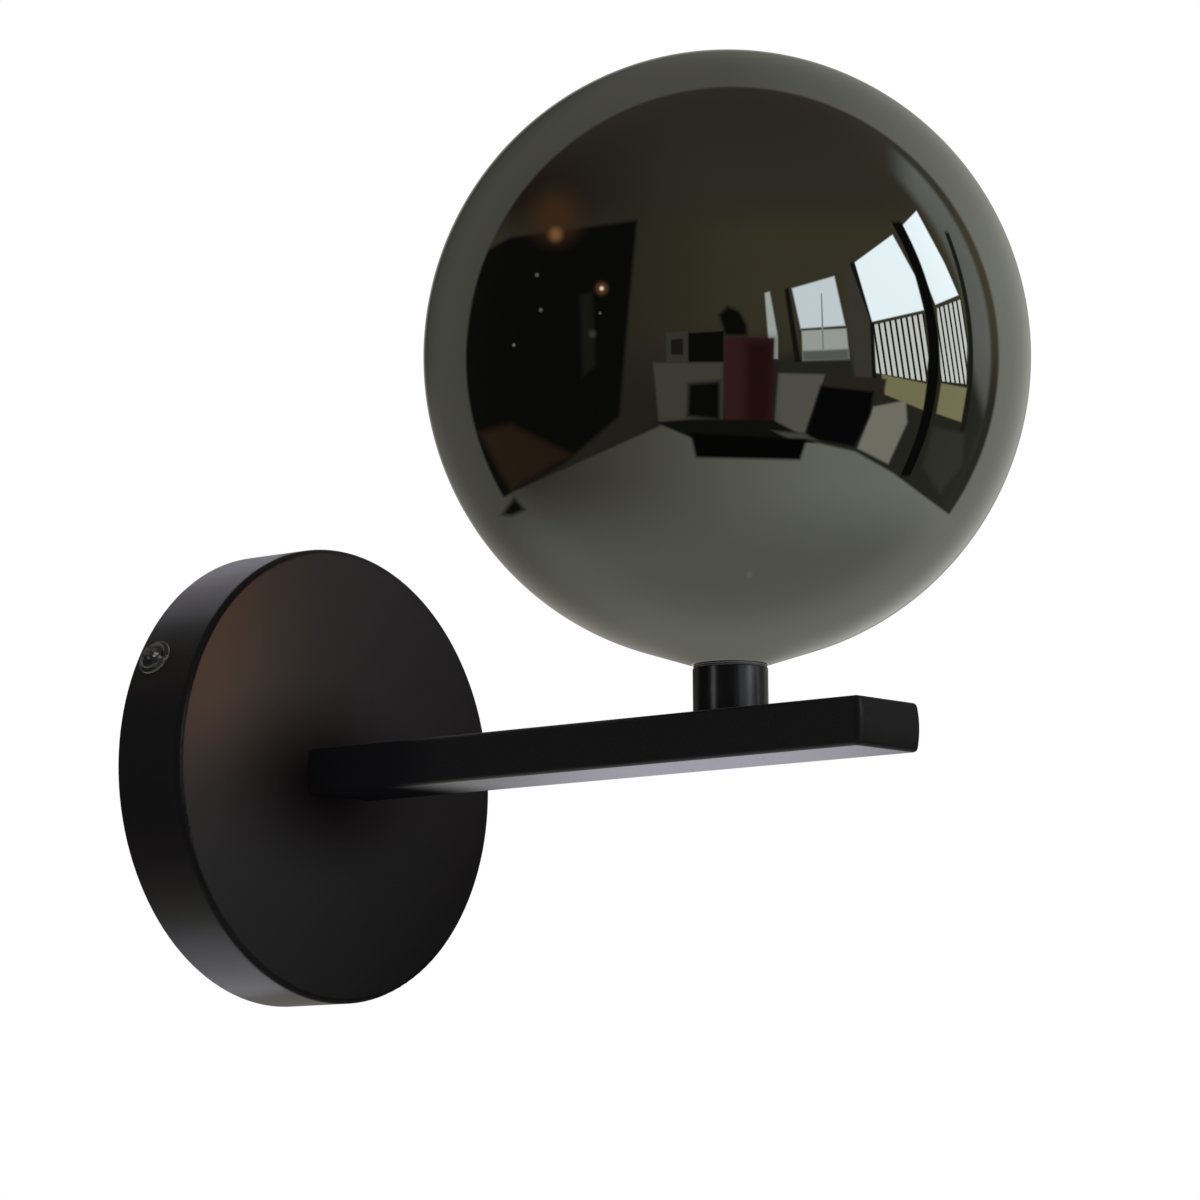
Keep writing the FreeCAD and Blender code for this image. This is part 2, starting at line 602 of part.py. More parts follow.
# ---------------------------------------------------------------- terminal block and earth

def make_terminal_block():
    """A two-way block: stepped moulding with insert bores, screw wells and a fixing hole."""
    block = new_body("terminal_block")
    low, high = "block_place - block_length / 2", "block_place + block_length / 2"
    foot = "bracket_gauge + weld_gap"
    section = sketch_on(block, "YZ_Plane", "section")
    outline(section, (
        (low, foot), (high, foot), (high, f"{foot} + block_shoulder"),
        (f"{high} - block_step", f"{foot} + block_height"), (f"{low} + block_step", f"{foot} + block_height"),
        (low, f"{foot} + block_shoulder"),
    ))
    pad(block, section, "pole_pitch * 2", symmetric=True)
    bores = sketch_on(block, "XZ_Plane", "bores")
    wells = sketch_on(block, "XY_Plane", "wells", "insert_axis")
    for sign in ("", "-"):
        circle(bores, "insert_diameter / 2 + weld_gap", f"{sign}pole_pitch / 2", "insert_axis")
        for end in ("+", "-"):
            middle = f"block_place {end} clamp_spacing / 2"
            circle(wells, "clamp_head_diameter / 2 + hole_clearance / 2", f"{sign}pole_pitch / 2", middle)
    pocket(block, bores, symmetric=True)
    pocket(block, wells, reverse=True)
    fixing = sketch_on(block, "XY_Plane", "fixing")
    circle(fixing, "block_screw_diameter / 2 + weld_gap", "0", "block_place")
    pocket(block, fixing, symmetric=True)
    counterbore = sketch_on(block, "XY_Plane", "counterbore", f"{foot} + block_shoulder")
    circle(counterbore, "block_head_diameter / 2 + weld_gap", "0", "block_place")
    pocket(block, counterbore, reverse=True)
    place(block, turn=bracket_turn())


def make_terminal_inserts():
    """Two brass tubes in the block, each tapped from above for its two clamping screws."""
    inserts = new_body("terminal_inserts")
    section = sketch_on(inserts, "XZ_Plane", "section", "-block_place")
    for sign in ("", "-"):
        circle(section, "insert_diameter / 2", f"{sign}pole_pitch / 2", "insert_axis")
        circle(section, "insert_bore / 2", f"{sign}pole_pitch / 2", "insert_axis")
    pad(inserts, section, "insert_length", symmetric=True)
    taps = sketch_on(inserts, "XY_Plane", "taps", "insert_axis")
    for sign in ("", "-"):
        for end in ("+", "-"):
            middle = f"block_place {end} clamp_spacing / 2"
            circle(taps, "clamp_screw_diameter / 2 + thread_clearance", f"{sign}pole_pitch / 2", middle)
    pocket(inserts, taps, reverse=True)
    place(inserts, turn=bracket_turn())


def make_terminal_screws():
    """The four clamping screws, standing just clear of the wires."""
    screws = new_body("terminal_screws")
    tip = "insert_axis + wire_diameter / 2 + seat_gap"
    seat = "insert_axis + insert_diameter / 2 + seat_gap"
    shanks = sketch_on(screws, "XY_Plane", "shanks", tip)
    heads = sketch_on(screws, "XY_Plane", "heads", seat)
    for sign in ("", "-"):
        for end in ("+", "-"):
            middle = f"block_place {end} clamp_spacing / 2"
            circle(shanks, "clamp_screw_diameter / 2", f"{sign}pole_pitch / 2", middle)
            circle(heads, "clamp_head_diameter / 2", f"{sign}pole_pitch / 2", middle)
    pad(screws, shanks, f"{seat} - ({tip})")
    pad(screws, heads, "clamp_head_height")
    place(screws, turn=bracket_turn())


def make_block_screw():
    """The screw that holds the terminal block to the wing."""
    seat = "bracket_gauge + weld_gap + block_shoulder"
    screw = turned("terminal_block_screw", (
        ("0", "0"), ("block_screw_diameter / 2", "0"), ("block_screw_diameter / 2", seat),
        ("block_head_diameter / 2", seat), ("block_head_diameter / 2", f"{seat} + block_head_height"),
        ("0", f"{seat} + block_head_height"),
    ))
    turn = bracket_turn()
    shift = turn.multVec(FreeCAD.Vector(0, value("block_place"), 0))
    screw.Placement = FreeCAD.Placement(shift, turn)


def earth_frame(axis_turn):
    """A placement at the earth tab's outer face, its Z pointing away from the centre of the bracket."""
    turn = bracket_turn()
    spot = FreeCAD.Vector(-value("tab_place"), value("wing_reach"), value("earth_screw_height"))
    away = FreeCAD.Rotation(RIGHT, -RIGHT_ANGLE)
    return FreeCAD.Placement(turn.multVec(spot), turn.multiply(away).multiply(axis_turn))


def make_earth_screw():
    """The screw in the earth tab, with the ring terminal under its head."""
    seat = "terminal_gauge + weld_gap * 2"
    screw = turned("earth_screw", (
        ("0", f"{seat} - earth_screw_length"), ("earth_screw_diameter / 2", f"{seat} - earth_screw_length"),
        ("earth_screw_diameter / 2", seat), ("small_head_diameter / 2", seat),
        ("small_head_diameter / 2", f"{seat} + small_head_height / 2"),
        ("small_head_diameter / 3", f"{seat} + small_head_height"), ("0", f"{seat} + small_head_height"),
    ))
    screw.Placement = earth_frame(FreeCAD.Rotation())


def ring_terminal(name, ring_diameter, bolt_diameter):
    """A crimp terminal: flat ring, tongue along -X and a hollow barrel that lies on the tongue."""
    terminal = new_body(name)
    barrel_start = f"-({ring_diameter} / 2 + tongue_length)"
    barrel_axis = "barrel_diameter / 2"
    plate = sketch_on(terminal, "XY_Plane", "ring")
    circle(plate, f"{ring_diameter} / 2")
    pad(terminal, plate, "terminal_gauge")
    tongue = sketch_on(terminal, "XY_Plane", "tongue")
    rectangle(tongue, f"{barrel_start} - barrel_length / 2", "0", "-tongue_width / 2", "tongue_width / 2")
    pad(terminal, tongue, "terminal_gauge")
    barrel = sketch_on(terminal, "YZ_Plane", "barrel", f"{barrel_start} - barrel_length")
    circle(barrel, "barrel_diameter / 2", "0", barrel_axis)
    pad(terminal, barrel, "barrel_length")
    bore = sketch_on(terminal, "YZ_Plane", "bore", f"{barrel_start} - barrel_length")
    circle(bore, "earth_wire_diameter / 2 + weld_gap", "0", barrel_axis)
    pocket(terminal, bore, "barrel_length", reverse=True)
    hole = sketch_on(terminal, "XY_Plane", "hole")
    circle(hole, f"{bolt_diameter} / 2 + hole_clearance")
    pocket(terminal, hole, symmetric=True)
    return terminal


def make_ring_terminals():
    """One ring terminal on the arm's nipple, and one on the earth tab."""
    arm_ring = ring_terminal("earth_terminal_arm", "arm_ring_diameter", "nipple_diameter")
    upside_down = FreeCAD.Rotation(RIGHT, 2 * RIGHT_ANGLE)
    arm_ring.Placement = FreeCAD.Placement(FreeCAD.Vector(), bracket_turn().multiply(upside_down))
    arm_ring.setExpression(".Placement.Base.y", formula("-arm_ring_face"))
    tab_ring = ring_terminal("earth_terminal_tab", "tab_ring_diameter", "earth_screw_diameter")
    base = earth_frame(FreeCAD.Rotation())
    lift = FreeCAD.Placement(FreeCAD.Vector(0, 0, value("weld_gap")), FreeCAD.Rotation())
    tab_ring.Placement = base.multiply(lift)


# ---------------------------------------------------------------- nipples, nuts and washers

def lock_washer(name, low):
    """A split spring washer whose foot lies at a height of the body's axis."""
    washer = turned(name, ring_corners("nipple_hole", "washer_diameter / 2", low, f"{low} + washer_gauge"))
    split = sketch_on(washer, "XY_Plane", "split", low)
    rectangle(split, "0", "washer_diameter", "-washer_split / 2", "washer_split / 2")
    pocket(washer, split, reverse=True)
    return washer


def hex_nut(name, low):
    """A hexagon nut with chamfered corners, above a height of the body's axis."""
    nut = new_body(name)
    flats = sketch_on(nut, "XY_Plane", "flats", low)
    hexagon(flats, "nut_width")
    pad(nut, flats, "nut_height")
    hole = sketch_on(nut, "XY_Plane", "thread", low)
    circle(hole, "nipple_radius + thread_clearance")
    pocket(nut, hole, reverse=True)
    crown = sketch_on(nut, "XZ_Plane", "crown")
    outer, reach = "nut_width / 2", "nut_width"
    top = f"{low} + nut_height"
    over = f"{top} + nut_chamfer * 2"
    outline(crown, ((outer, top), (reach, f"{top} - nut_chamfer * 4"), (reach, over)))
    groove = nut.newObject("PartDesign::Groove", f"{name}_crown_cut")
    groove.Profile = crown
    groove.ReferenceAxis = (crown, ["V_Axis"])
    groove.Angle = FULL_TURN
    doc.recompute()
    return nut


def make_arm_fixing():
    """What clamps the arm to the rose: nipple, lock washer, nut and the plastic bush for the wires."""
    nipple = turned("arm_nipple", ring_corners(
        "nipple_bore / 2", "nipple_radius", "arm_nipple_start", "arm_nipple_end"))
    place(nipple, turn=TO_WALL_FRAME)
    washer = lock_washer("arm_lock_washer", "arm_ring_face")
    place(washer, turn=TO_WALL_FRAME)
    nut = hex_nut("arm_nut", "arm_nut_face - nut_height")
    place(nut, turn=TO_WALL_FRAME)
    bore, outside = "nipple_bore / 2 - bush_wall", "nipple_bore / 2 - weld_gap"
    flange_front, flange_back = "arm_nipple_start - bush_wall * 2", "arm_nipple_start - weld_gap"
    far_end = "arm_nipple_start + bush_length"
    bush = turned("wire_bush", (
        (bore, flange_front), ("bush_flange / 2", flange_front), ("bush_flange / 2", flange_back),
        (outside, flange_back), (outside, far_end), (bore, far_end),
    ))
    place(bush, turn=TO_WALL_FRAME)


# ---------------------------------------------------------------- the arm

def arm_section(sketch):
    rectangle(sketch, "-arm_width / 2", "arm_width / 2", "-arm_top", "arm_top")


def make_arm_tube():
    """The flat rectangular tube, with the stem's hole in its top wall."""
    tube = new_body("arm_tube")
    section = sketch_on(tube, "XZ_Plane", "section", "rose_depth")
    arm_section(section)
    pad(tube, section, "tube_end - rose_depth")
    dress(tube, "Fillet", "arm_edge_radius", lambda edge: is_straight(edge, FreeCAD.Vector(0, 1, 0)))
    bore = sketch_on(tube, "XZ_Plane", "bore", "rose_depth")
    rectangle(bore, "-bore_half_width", "bore_half_width", "-bore_half_height", "bore_half_height")
    pocket(tube, bore, reverse=True)
    hole = sketch_on(tube, "XY_Plane", "stem_hole")
    circle(hole, "nipple_hole", "0", "-stem_position")
    pocket(tube, hole, reverse=True)


def make_end_cap():
    """The welded end cap: it swells a little between top and bottom, and its spigot sits in the tube."""
    cap = new_body("arm_end_cap")
    side = sketch_on(cap, "YZ_Plane", "side")
    swell = "(arm_top ^ 2 + cap_bulge ^ 2) / (2 * cap_bulge)"
    outline(side, (
        ("-tube_end", "arm_top"), ("-arm_reach", "arm_top", swell, 1),
        ("-arm_reach", "-arm_top"), ("-tube_end", "-arm_top"),
    ))
    pad(cap, side, "arm_width", symmetric=True)
    tube_end = value("tube_end")
    dress(cap, "Fillet", "arm_edge_radius", lambda edge: not near(edge.CenterOfMass.y, -tube_end))
    spigot = sketch_on(cap, "XZ_Plane", "spigot", "tube_end - cap_spigot")
    wide, high = "bore_half_width - weld_gap", "bore_half_height - weld_gap"
    rectangle(spigot, f"-({wide})", wide, f"-({high})", high)
    pad(cap, spigot, "cap_spigot + weld_gap")


def make_root_plug():
    """The threaded plug in the arm's wall end, drilled for the nipple and the dowels."""
    plug = new_body("arm_root_plug")
    section = sketch_on(plug, "XZ_Plane", "section", "rose_depth")
    wide, high = "bore_half_width - weld_gap", "bore_half_height - weld_gap"
    rectangle(section, f"-({wide})", wide, f"-({high})", high)
    pad(plug, section, "plug_length")
    bore = sketch_on(plug, "XZ_Plane", "thread", "rose_depth")
    circle(bore, "nipple_radius + thread_clearance")
    pocket(plug, bore, reverse=True)
    holes = sketch_on(plug, "XZ_Plane", "dowels", "rose_depth")
    circle(holes, "dowel_diameter / 2 + weld_gap", "dowel_spacing / 2", "0")
    circle(holes, "dowel_diameter / 2 + weld_gap", "-dowel_spacing / 2", "0")
    pocket(plug, holes, reverse=True)


def make_dowels():
    """Two dowels from the rose's face into the plug."""
    dowels = new_body("arm_dowels")
    section = sketch_on(dowels, "XZ_Plane", "section", "rose_back_of_face")
    circle(section, "dowel_diameter / 2", "dowel_spacing / 2", "0")
    circle(section, "dowel_diameter / 2", "-dowel_spacing / 2", "0")
    pad(dowels, section, "dowel_length")


# ---------------------------------------------------------------- the stem

def on_stem(body, up="0"):
    place(body, outwards="stem_position", up=up)


def make_stem():
    """The cup on the arm, and the nipple, nuts and washer that clamp it."""
    outside, bore = "stem_diameter / 2", "collar_radius + thread_clearance"
    cup = turned("stem_cup", (
        ("nipple_hole", "arm_top"), (f"{outside} - stem_chamfer", "arm_top"),
        (outside, "arm_top + stem_chamfer"), (outside, "stem_top - stem_chamfer / 2"),
        (f"{outside} - stem_chamfer / 2", "stem_top"), (bore, "stem_top"),
        (bore, "stem_floor_top"), ("nipple_hole", "stem_floor_top"),
    ))
    on_stem(cup)
    nipple = turned("stem_nipple", ring_corners(
        "nipple_bore / 2", "nipple_radius", "weld_nut_foot", "stem_nipple_top"))
    on_stem(nipple)
    on_stem(lock_washer("stem_lock_washer", "stem_floor_top"))
    on_stem(hex_nut("stem_nut", "stem_nut_foot"))
    weld_nut = new_body("stem_weld_nut")
    square = sketch_on(weld_nut, "XY_Plane", "square", "weld_nut_foot")
    half = "weld_nut_width / 2"
    rectangle(square, f"-{half}", half, f"-{half}", half)
    circle(square, "nipple_radius + thread_clearance")
    pad(weld_nut, square, "weld_nut_height")
    on_stem(weld_nut)


def make_collar():
    """The threaded collar: its turned-in foot carries the lampholder, its outside carries the globe."""
    collar = turned("thread_collar", (
        ("collar_bore - collar_lip", "collar_foot"), ("collar_radius", "collar_foot"),
        ("collar_radius", "collar_top"), ("collar_bore", "collar_top"),
        ("collar_bore", "holder_foot"), ("collar_bore - collar_lip", "holder_foot"),
    ))
    on_stem(collar)


def make_lampholder():
    """The ceramic body: two contact slots from above, and a wire hole under each."""
    holder = turned("lampholder_body", (
        ("0", "holder_foot"), ("holder_radius", "holder_foot"),
        ("holder_radius", "holder_top"), ("0", "holder_top"),
    ))
    slots = sketch_on(holder, "XY_Plane", "slots", "holder_top")
    wires = sketch_on(holder, "XY_Plane", "wires", "holder_foot")
    deep = "contact_slot_depth_across / 2"
    for sign in ("", "-"):
        middle = f"{sign}pin_spacing / 2"
        left, right = f"{middle} - contact_slot_width / 2", f"{middle} + contact_slot_width / 2"
        rectangle(slots, left, right, f"-{deep}", deep)
        circle(wires, "wire_hole_diameter / 2", f"{sign}(pin_spacing / 2 - wire_hole_shift)", "0")
    pocket(holder, slots, "contact_slot_depth")
    pocket(holder, wires, reverse=True)
    on_stem(holder)


def make_contacts():
    """Two U-shaped spring contacts, one leaf on each side of a pin."""
    contacts = new_body("lampholder_contacts")
    profile = sketch_on(contacts, "YZ_Plane", "profile", "pin_spacing / 2 - contact_width / 2")
    inner, outer = "contact_gap", "contact_gap + contact_gauge"
    foot, top = "contact_foot", "contact_foot + contact_height"
    floor = "contact_foot + contact_gauge"
    outline(profile, (
        (f"-({outer})", foot), (outer, foot), (outer, top), (inner, top),
        (inner, floor), (f"-{inner}", floor), (f"-{inner}", top), (f"-({outer})", top),
    ))
    strip = pad(contacts, profile, "contact_width")
    twice_about_axis(contacts, [strip], "Z_Axis")
    on_stem(contacts)


def make_circlip():
    """The open ring in the collar's mouth that keeps the lampholder down."""
    outside = "collar_bore - thread_clearance"
    clip = turned("lampholder_circlip", ring_corners(
        f"{outside} - circlip_width", outside, "holder_top + thread_clearance",
        "holder_top + thread_clearance + circlip_gauge"))
    gap = sketch_on(clip, "XY_Plane", "gap", "holder_top")
    rectangle(gap, "-circlip_gap / 2", "circlip_gap / 2", "0", "collar_diameter")
    pocket(clip, gap, reverse=True)
    on_stem(clip)


# ---------------------------------------------------------------- globe and lamp

def make_globe():
    """The blown glass globe with its ground opening, the threaded ring cemented in it and the gasket."""
    gasket = turned("globe_gasket", ring_corners(
        "thread_ring_bore", "gasket_diameter / 2", "gasket_foot", "gasket_foot + gasket_thickness"))
    on_stem(gasket)
    flange_top = "thread_ring_foot + thread_ring_flange"
    ring = turned("globe_thread_ring", (
        ("thread_ring_bore", "thread_ring_foot"), ("thread_ring_flange_diameter / 2", "thread_ring_foot"),
        ("thread_ring_flange_diameter / 2", flange_top), ("thread_ring_outside", flange_top),
        ("thread_ring_outside", "thread_ring_foot + thread_ring_height"),
        ("thread_ring_bore", "thread_ring_foot + thread_ring_height"),
    ))
    on_stem(ring)
    globe = new_body("globe_glass")
    outside = globe.newObject("PartDesign::AdditiveSphere", "globe_outside")
    outside.setExpression("Radius", formula("globe_radius"))
    inside = globe.newObject("PartDesign::SubtractiveSphere", "globe_inside")
    inside.setExpression("Radius", formula("globe_radius - globe_wall"))
    opening = globe.newObject("PartDesign::SubtractiveCylinder", "globe_opening_cut")
    opening.setExpression("Radius", formula("globe_opening"))
    opening.setExpression("Height", formula("globe_radius"))
    opening.setExpression(".Placement.Base.z", formula("-globe_radius"))
    doc.recompute()
    rim = value("globe_opening")
    dress(globe, "Fillet", "globe_lip_radius",
          lambda edge: isinstance(edge.Curve, Part.Circle) and near(edge.Curve.Radius, rim))
    on_stem(globe, up="globe_centre")


def make_lamp_shell():
    """The lamp's foot with its spigot, and the domed envelope over it."""
    inside = "lamp_inside - weld_gap"
    foot = turned("lamp_base", (
        ("0", "lamp_seat"), ("lamp_base_diameter / 2", "lamp_seat"),
        ("lamp_base_diameter / 2", "lamp_base_top - weld_gap"), (inside, "lamp_base_top - weld_gap"),
        (inside, "lamp_base_top + lamp_spigot"), ("0", "lamp_base_top + lamp_spigot"),
    ))
    on_stem(foot)
    radius = "lamp_diameter / 2"
    shoulder = f"lamp_top - {radius}"
    envelope = turned("lamp_envelope", (
        ("lamp_inside", "lamp_base_top"), (radius, "lamp_base_top"), (radius, shoulder, radius, 1),
        ("0", "lamp_top"), ("0", "lamp_top - lamp_wall", "lamp_inside", -1), ("lamp_inside", shoulder),
    ))
    on_stem(envelope)


def make_lamp_pins():
    """Two pins, each a loop of round wire that stands down from the lamp's foot."""
    pins = new_body("lamp_pins")
    path = sketch_on(pins, "XZ_Plane", "path")
    low = "lamp_seat - pin_length + pin_loop_radius + pin_wire / 2"
    left, right = "pin_spacing / 2 - pin_loop_radius", "pin_spacing / 2 + pin_loop_radius"
    corners = [FreeCAD.Vector(value(x), value(y), 0) for x, y in (
        (left, "lamp_seat"), (left, low), (right, low), (right, "lamp_seat"))]
    middle = FreeCAD.Vector(value("pin_spacing / 2"), value(low), 0)
    down = path.addGeometry(Part.LineSegment(corners[0], corners[1]), False)
    loop = path.addGeometry(Part.ArcOfCircle(
        Part.Circle(middle, OUT, value("pin_loop_radius")), math.pi, 2 * math.pi), False)
    back = path.addGeometry(Part.LineSegment(corners[2], corners[3]), False)
    pin(path, down, START, left, "lamp_seat")
    pin(path, loop, CENTRE, "pin_spacing / 2", low)
    measure(path, "Radius", loop, "pin_loop_radius")
    path.addConstraint(Sketcher.Constraint("Tangent", down, END, loop, START))
    path.addConstraint(Sketcher.Constraint("Tangent", loop, END, back, START))
    pin(path, back, END, right, "lamp_seat")
    section = sketch_on(pins, "XY_Plane", "wire", "lamp_seat")
    circle(section, "pin_wire / 2", left, "0")
    wire = pins.newObject("PartDesign::AdditivePipe", "lamp_pin_wire")
    wire.Profile = section
    wire.Spine = path
    doc.recompute()
    twice_about_axis(pins, [wire], "Z_Axis")
    on_stem(pins)


def make_lamp_board():
    """The circuit board inside the envelope, with a column of light chips on each side."""
    board = new_body("lamp_board")
    foot = "lamp_base_top + lamp_spigot + weld_gap"
    sheet_outline = sketch_on(board, "XZ_Plane", "board")
    rectangle(sheet_outline, "-board_width / 2", "board_width / 2", foot, f"{foot} + board_height")
    pad(board, sheet_outline, "board_gauge", symmetric=True)
    chips = sketch_on(board, "XZ_Plane", "chips")
    count = int(value("(board_height - chip_height) / chip_pitch"))
    half = "chip_width / 2"
    for number in range(count):
        low = f"{foot} + chip_height / 2 + {number} * chip_pitch"
        rectangle(chips, f"-{half}", half, low, f"{low} + chip_height")
    pad(board, chips, "board_gauge + chip_thickness * 2", symmetric=True)
    on_stem(board)


# ---------------------------------------------------------------- wires

def rounded_route(points):
    """Straight runs joined by tangent arcs, each as large as its two runs allow. Also lists the radii."""
    pieces = []
    radii = []
    here = points[0]
    for before, corner, after in zip(points, points[1:], points[2:]):
        back, ahead = before - corner, after - corner
        turn = math.pi - back.getAngle(ahead)
        radius = ARC_SHARE * min(back.Length, ahead.Length) / math.tan(turn / 2)
        cut = radius * math.tan(turn / 2)
        back.normalize()
        ahead.normalize()
        start, end = corner + back * cut, corner + ahead * cut
        inward = (back + ahead).normalize()
        middle = corner + inward * (radius / math.cos(turn / 2) - radius)
        pieces.append(Part.LineSegment(here, start).toShape())
        pieces.append(Part.Arc(start, middle, end).toShape())
        radii.append(radius)
        here = end
    pieces.append(Part.LineSegment(here, points[-1]).toShape())
    return Part.Wire(pieces), radii


def wire_node(name, points, diameter):
    """An insulated wire along a route; its volume is compared with its section times its length."""
    route, radii = rounded_route(points)
    heading = points[1] - points[0]
    section = Part.Wire(Part.Circle(points[0], heading, diameter / 2).toShape())
    shape = route.makePipeShell([section], True, True)
    expected = math.pi * diameter ** 2 / 4 * route.Length
    if abs(shape.Volume / expected - 1) > VOLUME_TOLERANCE:
        raise RuntimeError(f"{name} has the wrong volume")
    print(f"{name}: length {route.Length:.1f} mm, least bend radius {min(radii):.1f} mm")
    wire = doc.addObject("Part::Feature", name)
    wire.Label = name
    wire.Shape = shape
    nodes.append(wire)


def from_bracket(along, across, outwards):
    """A point given in the bracket's directions, in the row's frame."""
    return bracket_turn().multVec(FreeCAD.Vector(along, across, outwards))


def lamp_wire_points(side):
    """From the terminal block through the nipples and the arm up into the lampholder."""
    shift, spread, waver = side * value("wire_shift"), side * value("wire_spread"), value("wire_waver")
    pole = -side * value("pole_pitch") / 2
    block_end = value("block_place - block_length / 2")
    depth = value("insert_axis")
    low = -value("bore_half_height - wire_diameter")
    stem, slot = value("stem_position"), side * value("pin_spacing / 2 - wire_hole_shift")
    room = value("wire_edge_room")
    first, last = value("arm_nipple_end + wire_tail"), value("stem_position - wire_last_run")
    into_nipple = [
        from_bracket(pole, block_end + value("wire_entry"), depth),
        from_bracket(pole * BLOCK_FAN, block_end - value("wire_exit"), depth),
        FreeCAD.Vector(shift * MOUTH_FAN, -depth - value("wire_turn_rise"), -value("wire_turn_below")),
        FreeCAD.Vector(shift, -depth - value("wire_turn_out"), -waver),
        FreeCAD.Vector(shift, -value("arm_nipple_start + wire_lead"), 0),
        FreeCAD.Vector(shift, -first, waver / 2),
    ]
    along_arm = [
        FreeCAD.Vector(spread * wide, -first - (last - first) * share, low + waver * lift)
        for share, wide, lift in ARM_BENDS
    ]
    up_stem = [
        FreeCAD.Vector(shift, -last, low + waver / 4),
        FreeCAD.Vector(shift, -stem, low),
        FreeCAD.Vector(shift, -stem, value("stem_nipple_top") - room),
        FreeCAD.Vector(slot, -stem, value("holder_foot") - room),
        FreeCAD.Vector(slot, -stem, value("contact_foot") - room),
    ]
    return into_nipple + along_arm + up_stem


def earth_wire_points():
    """From the ring on the arm's nipple round the rose to the ring on the earth tab."""
    axis = value("arm_ring_face") - value("barrel_diameter") / 2
    out_of_arm = -value("arm_ring_diameter / 2 + tongue_length")
    out_of_tab = -value("tab_place") - value("tab_ring_diameter / 2 + tongue_length")
    barrel, entry = value("barrel_length"), value("earth_entry")
    level = value("wing_reach + weld_gap + barrel_diameter / 2")
    height = value("earth_screw_height")
    radius, depth = value("rose_bore_radius"), value("rose_back_of_face")
    bends = [from_bracket(radius * along, radius * across, depth * out) for along, across, out in EARTH_BENDS]
    return [
        from_bracket(out_of_arm - entry, 0, axis),
        from_bracket(out_of_arm - barrel - value("earth_lead"), 0, axis),
        *bends,
        from_bracket(out_of_tab - barrel - value("earth_tail"), level, height),
        from_bracket(out_of_tab - entry, level, height),
    ]


def make_wires():
    wire_node("wire_live", lamp_wire_points(-1), value("wire_diameter"))
    wire_node("wire_neutral", lamp_wire_points(1), value("wire_diameter"))
    wire_node("wire_earth", earth_wire_points(), value("earth_wire_diameter"))


# ---------------------------------------------------------------- checks and files

def check_document():
    """Stops on any object that failed and on any sub-part whose shape is missing or not valid."""
    for item in doc.Objects:
        if "Invalid" in item.State or "Error" in item.State:
            raise RuntimeError(f"{item.Name} failed: {item.State}")
    for node in nodes:
        shape = node.Shape
        if shape.isNull() or not shape.isValid() or not shape.Solids:
            raise RuntimeError(f"{node.Label} has no valid solid")


def write_files():
    os.makedirs("parts", exist_ok=True)
    for node in nodes:
        node.Shape.exportStep(f"parts/{node.Label}.step")


def main():
    fill_sheet()
    make_rose()
    make_bracket()
    make_side_screws()
    make_terminal_block()
    make_terminal_inserts()
    make_terminal_screws()
    make_block_screw()
    make_earth_screw()
    make_ring_terminals()
    make_arm_fixing()
    make_arm_tube()
    make_end_cap()
    make_root_plug()
    make_dowels()
    make_stem()
    make_collar()
    make_lampholder()
    make_contacts()
    make_circlip()
    make_globe()
    make_lamp_shell()
    make_lamp_pins()
    make_lamp_board()
    make_wires()
    doc.recompute()
    check_document()
    write_files()


main()
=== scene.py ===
import json
import logging
import math
from dataclasses import dataclass, field
from enum import Enum
from typing import Iterable, Optional, Sequence, Union

import bpy
import numpy as np
from mathutils import Matrix, Vector

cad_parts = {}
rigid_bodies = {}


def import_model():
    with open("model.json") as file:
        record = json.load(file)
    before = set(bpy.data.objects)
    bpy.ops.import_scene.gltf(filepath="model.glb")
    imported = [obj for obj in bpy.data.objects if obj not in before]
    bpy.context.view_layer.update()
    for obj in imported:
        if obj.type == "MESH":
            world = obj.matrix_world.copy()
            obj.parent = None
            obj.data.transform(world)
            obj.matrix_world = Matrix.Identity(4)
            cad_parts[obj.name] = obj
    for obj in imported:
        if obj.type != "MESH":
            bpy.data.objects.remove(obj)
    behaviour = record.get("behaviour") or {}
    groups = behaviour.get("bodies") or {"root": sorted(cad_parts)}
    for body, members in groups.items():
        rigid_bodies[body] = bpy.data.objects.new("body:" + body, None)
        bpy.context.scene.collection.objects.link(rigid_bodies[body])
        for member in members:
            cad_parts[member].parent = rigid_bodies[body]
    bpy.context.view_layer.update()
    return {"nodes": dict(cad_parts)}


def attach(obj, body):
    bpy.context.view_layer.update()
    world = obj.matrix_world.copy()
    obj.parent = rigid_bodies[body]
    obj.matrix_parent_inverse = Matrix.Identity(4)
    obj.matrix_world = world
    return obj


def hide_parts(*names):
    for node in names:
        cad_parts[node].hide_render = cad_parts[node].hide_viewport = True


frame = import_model()

LOG = logging.getLogger("wall_light")
MM = 0.001
TURN = 2 * math.pi
NOISE_SPAN = (0.3, 0.7)  # a noise seldom leaves this span
STEM_AXIS = 152.5  # distance of the stem's and the globe's axis from the wall, in millimetres

Tone = tuple[float, float, float]


# ------------------------------------------------------------------ node graphs


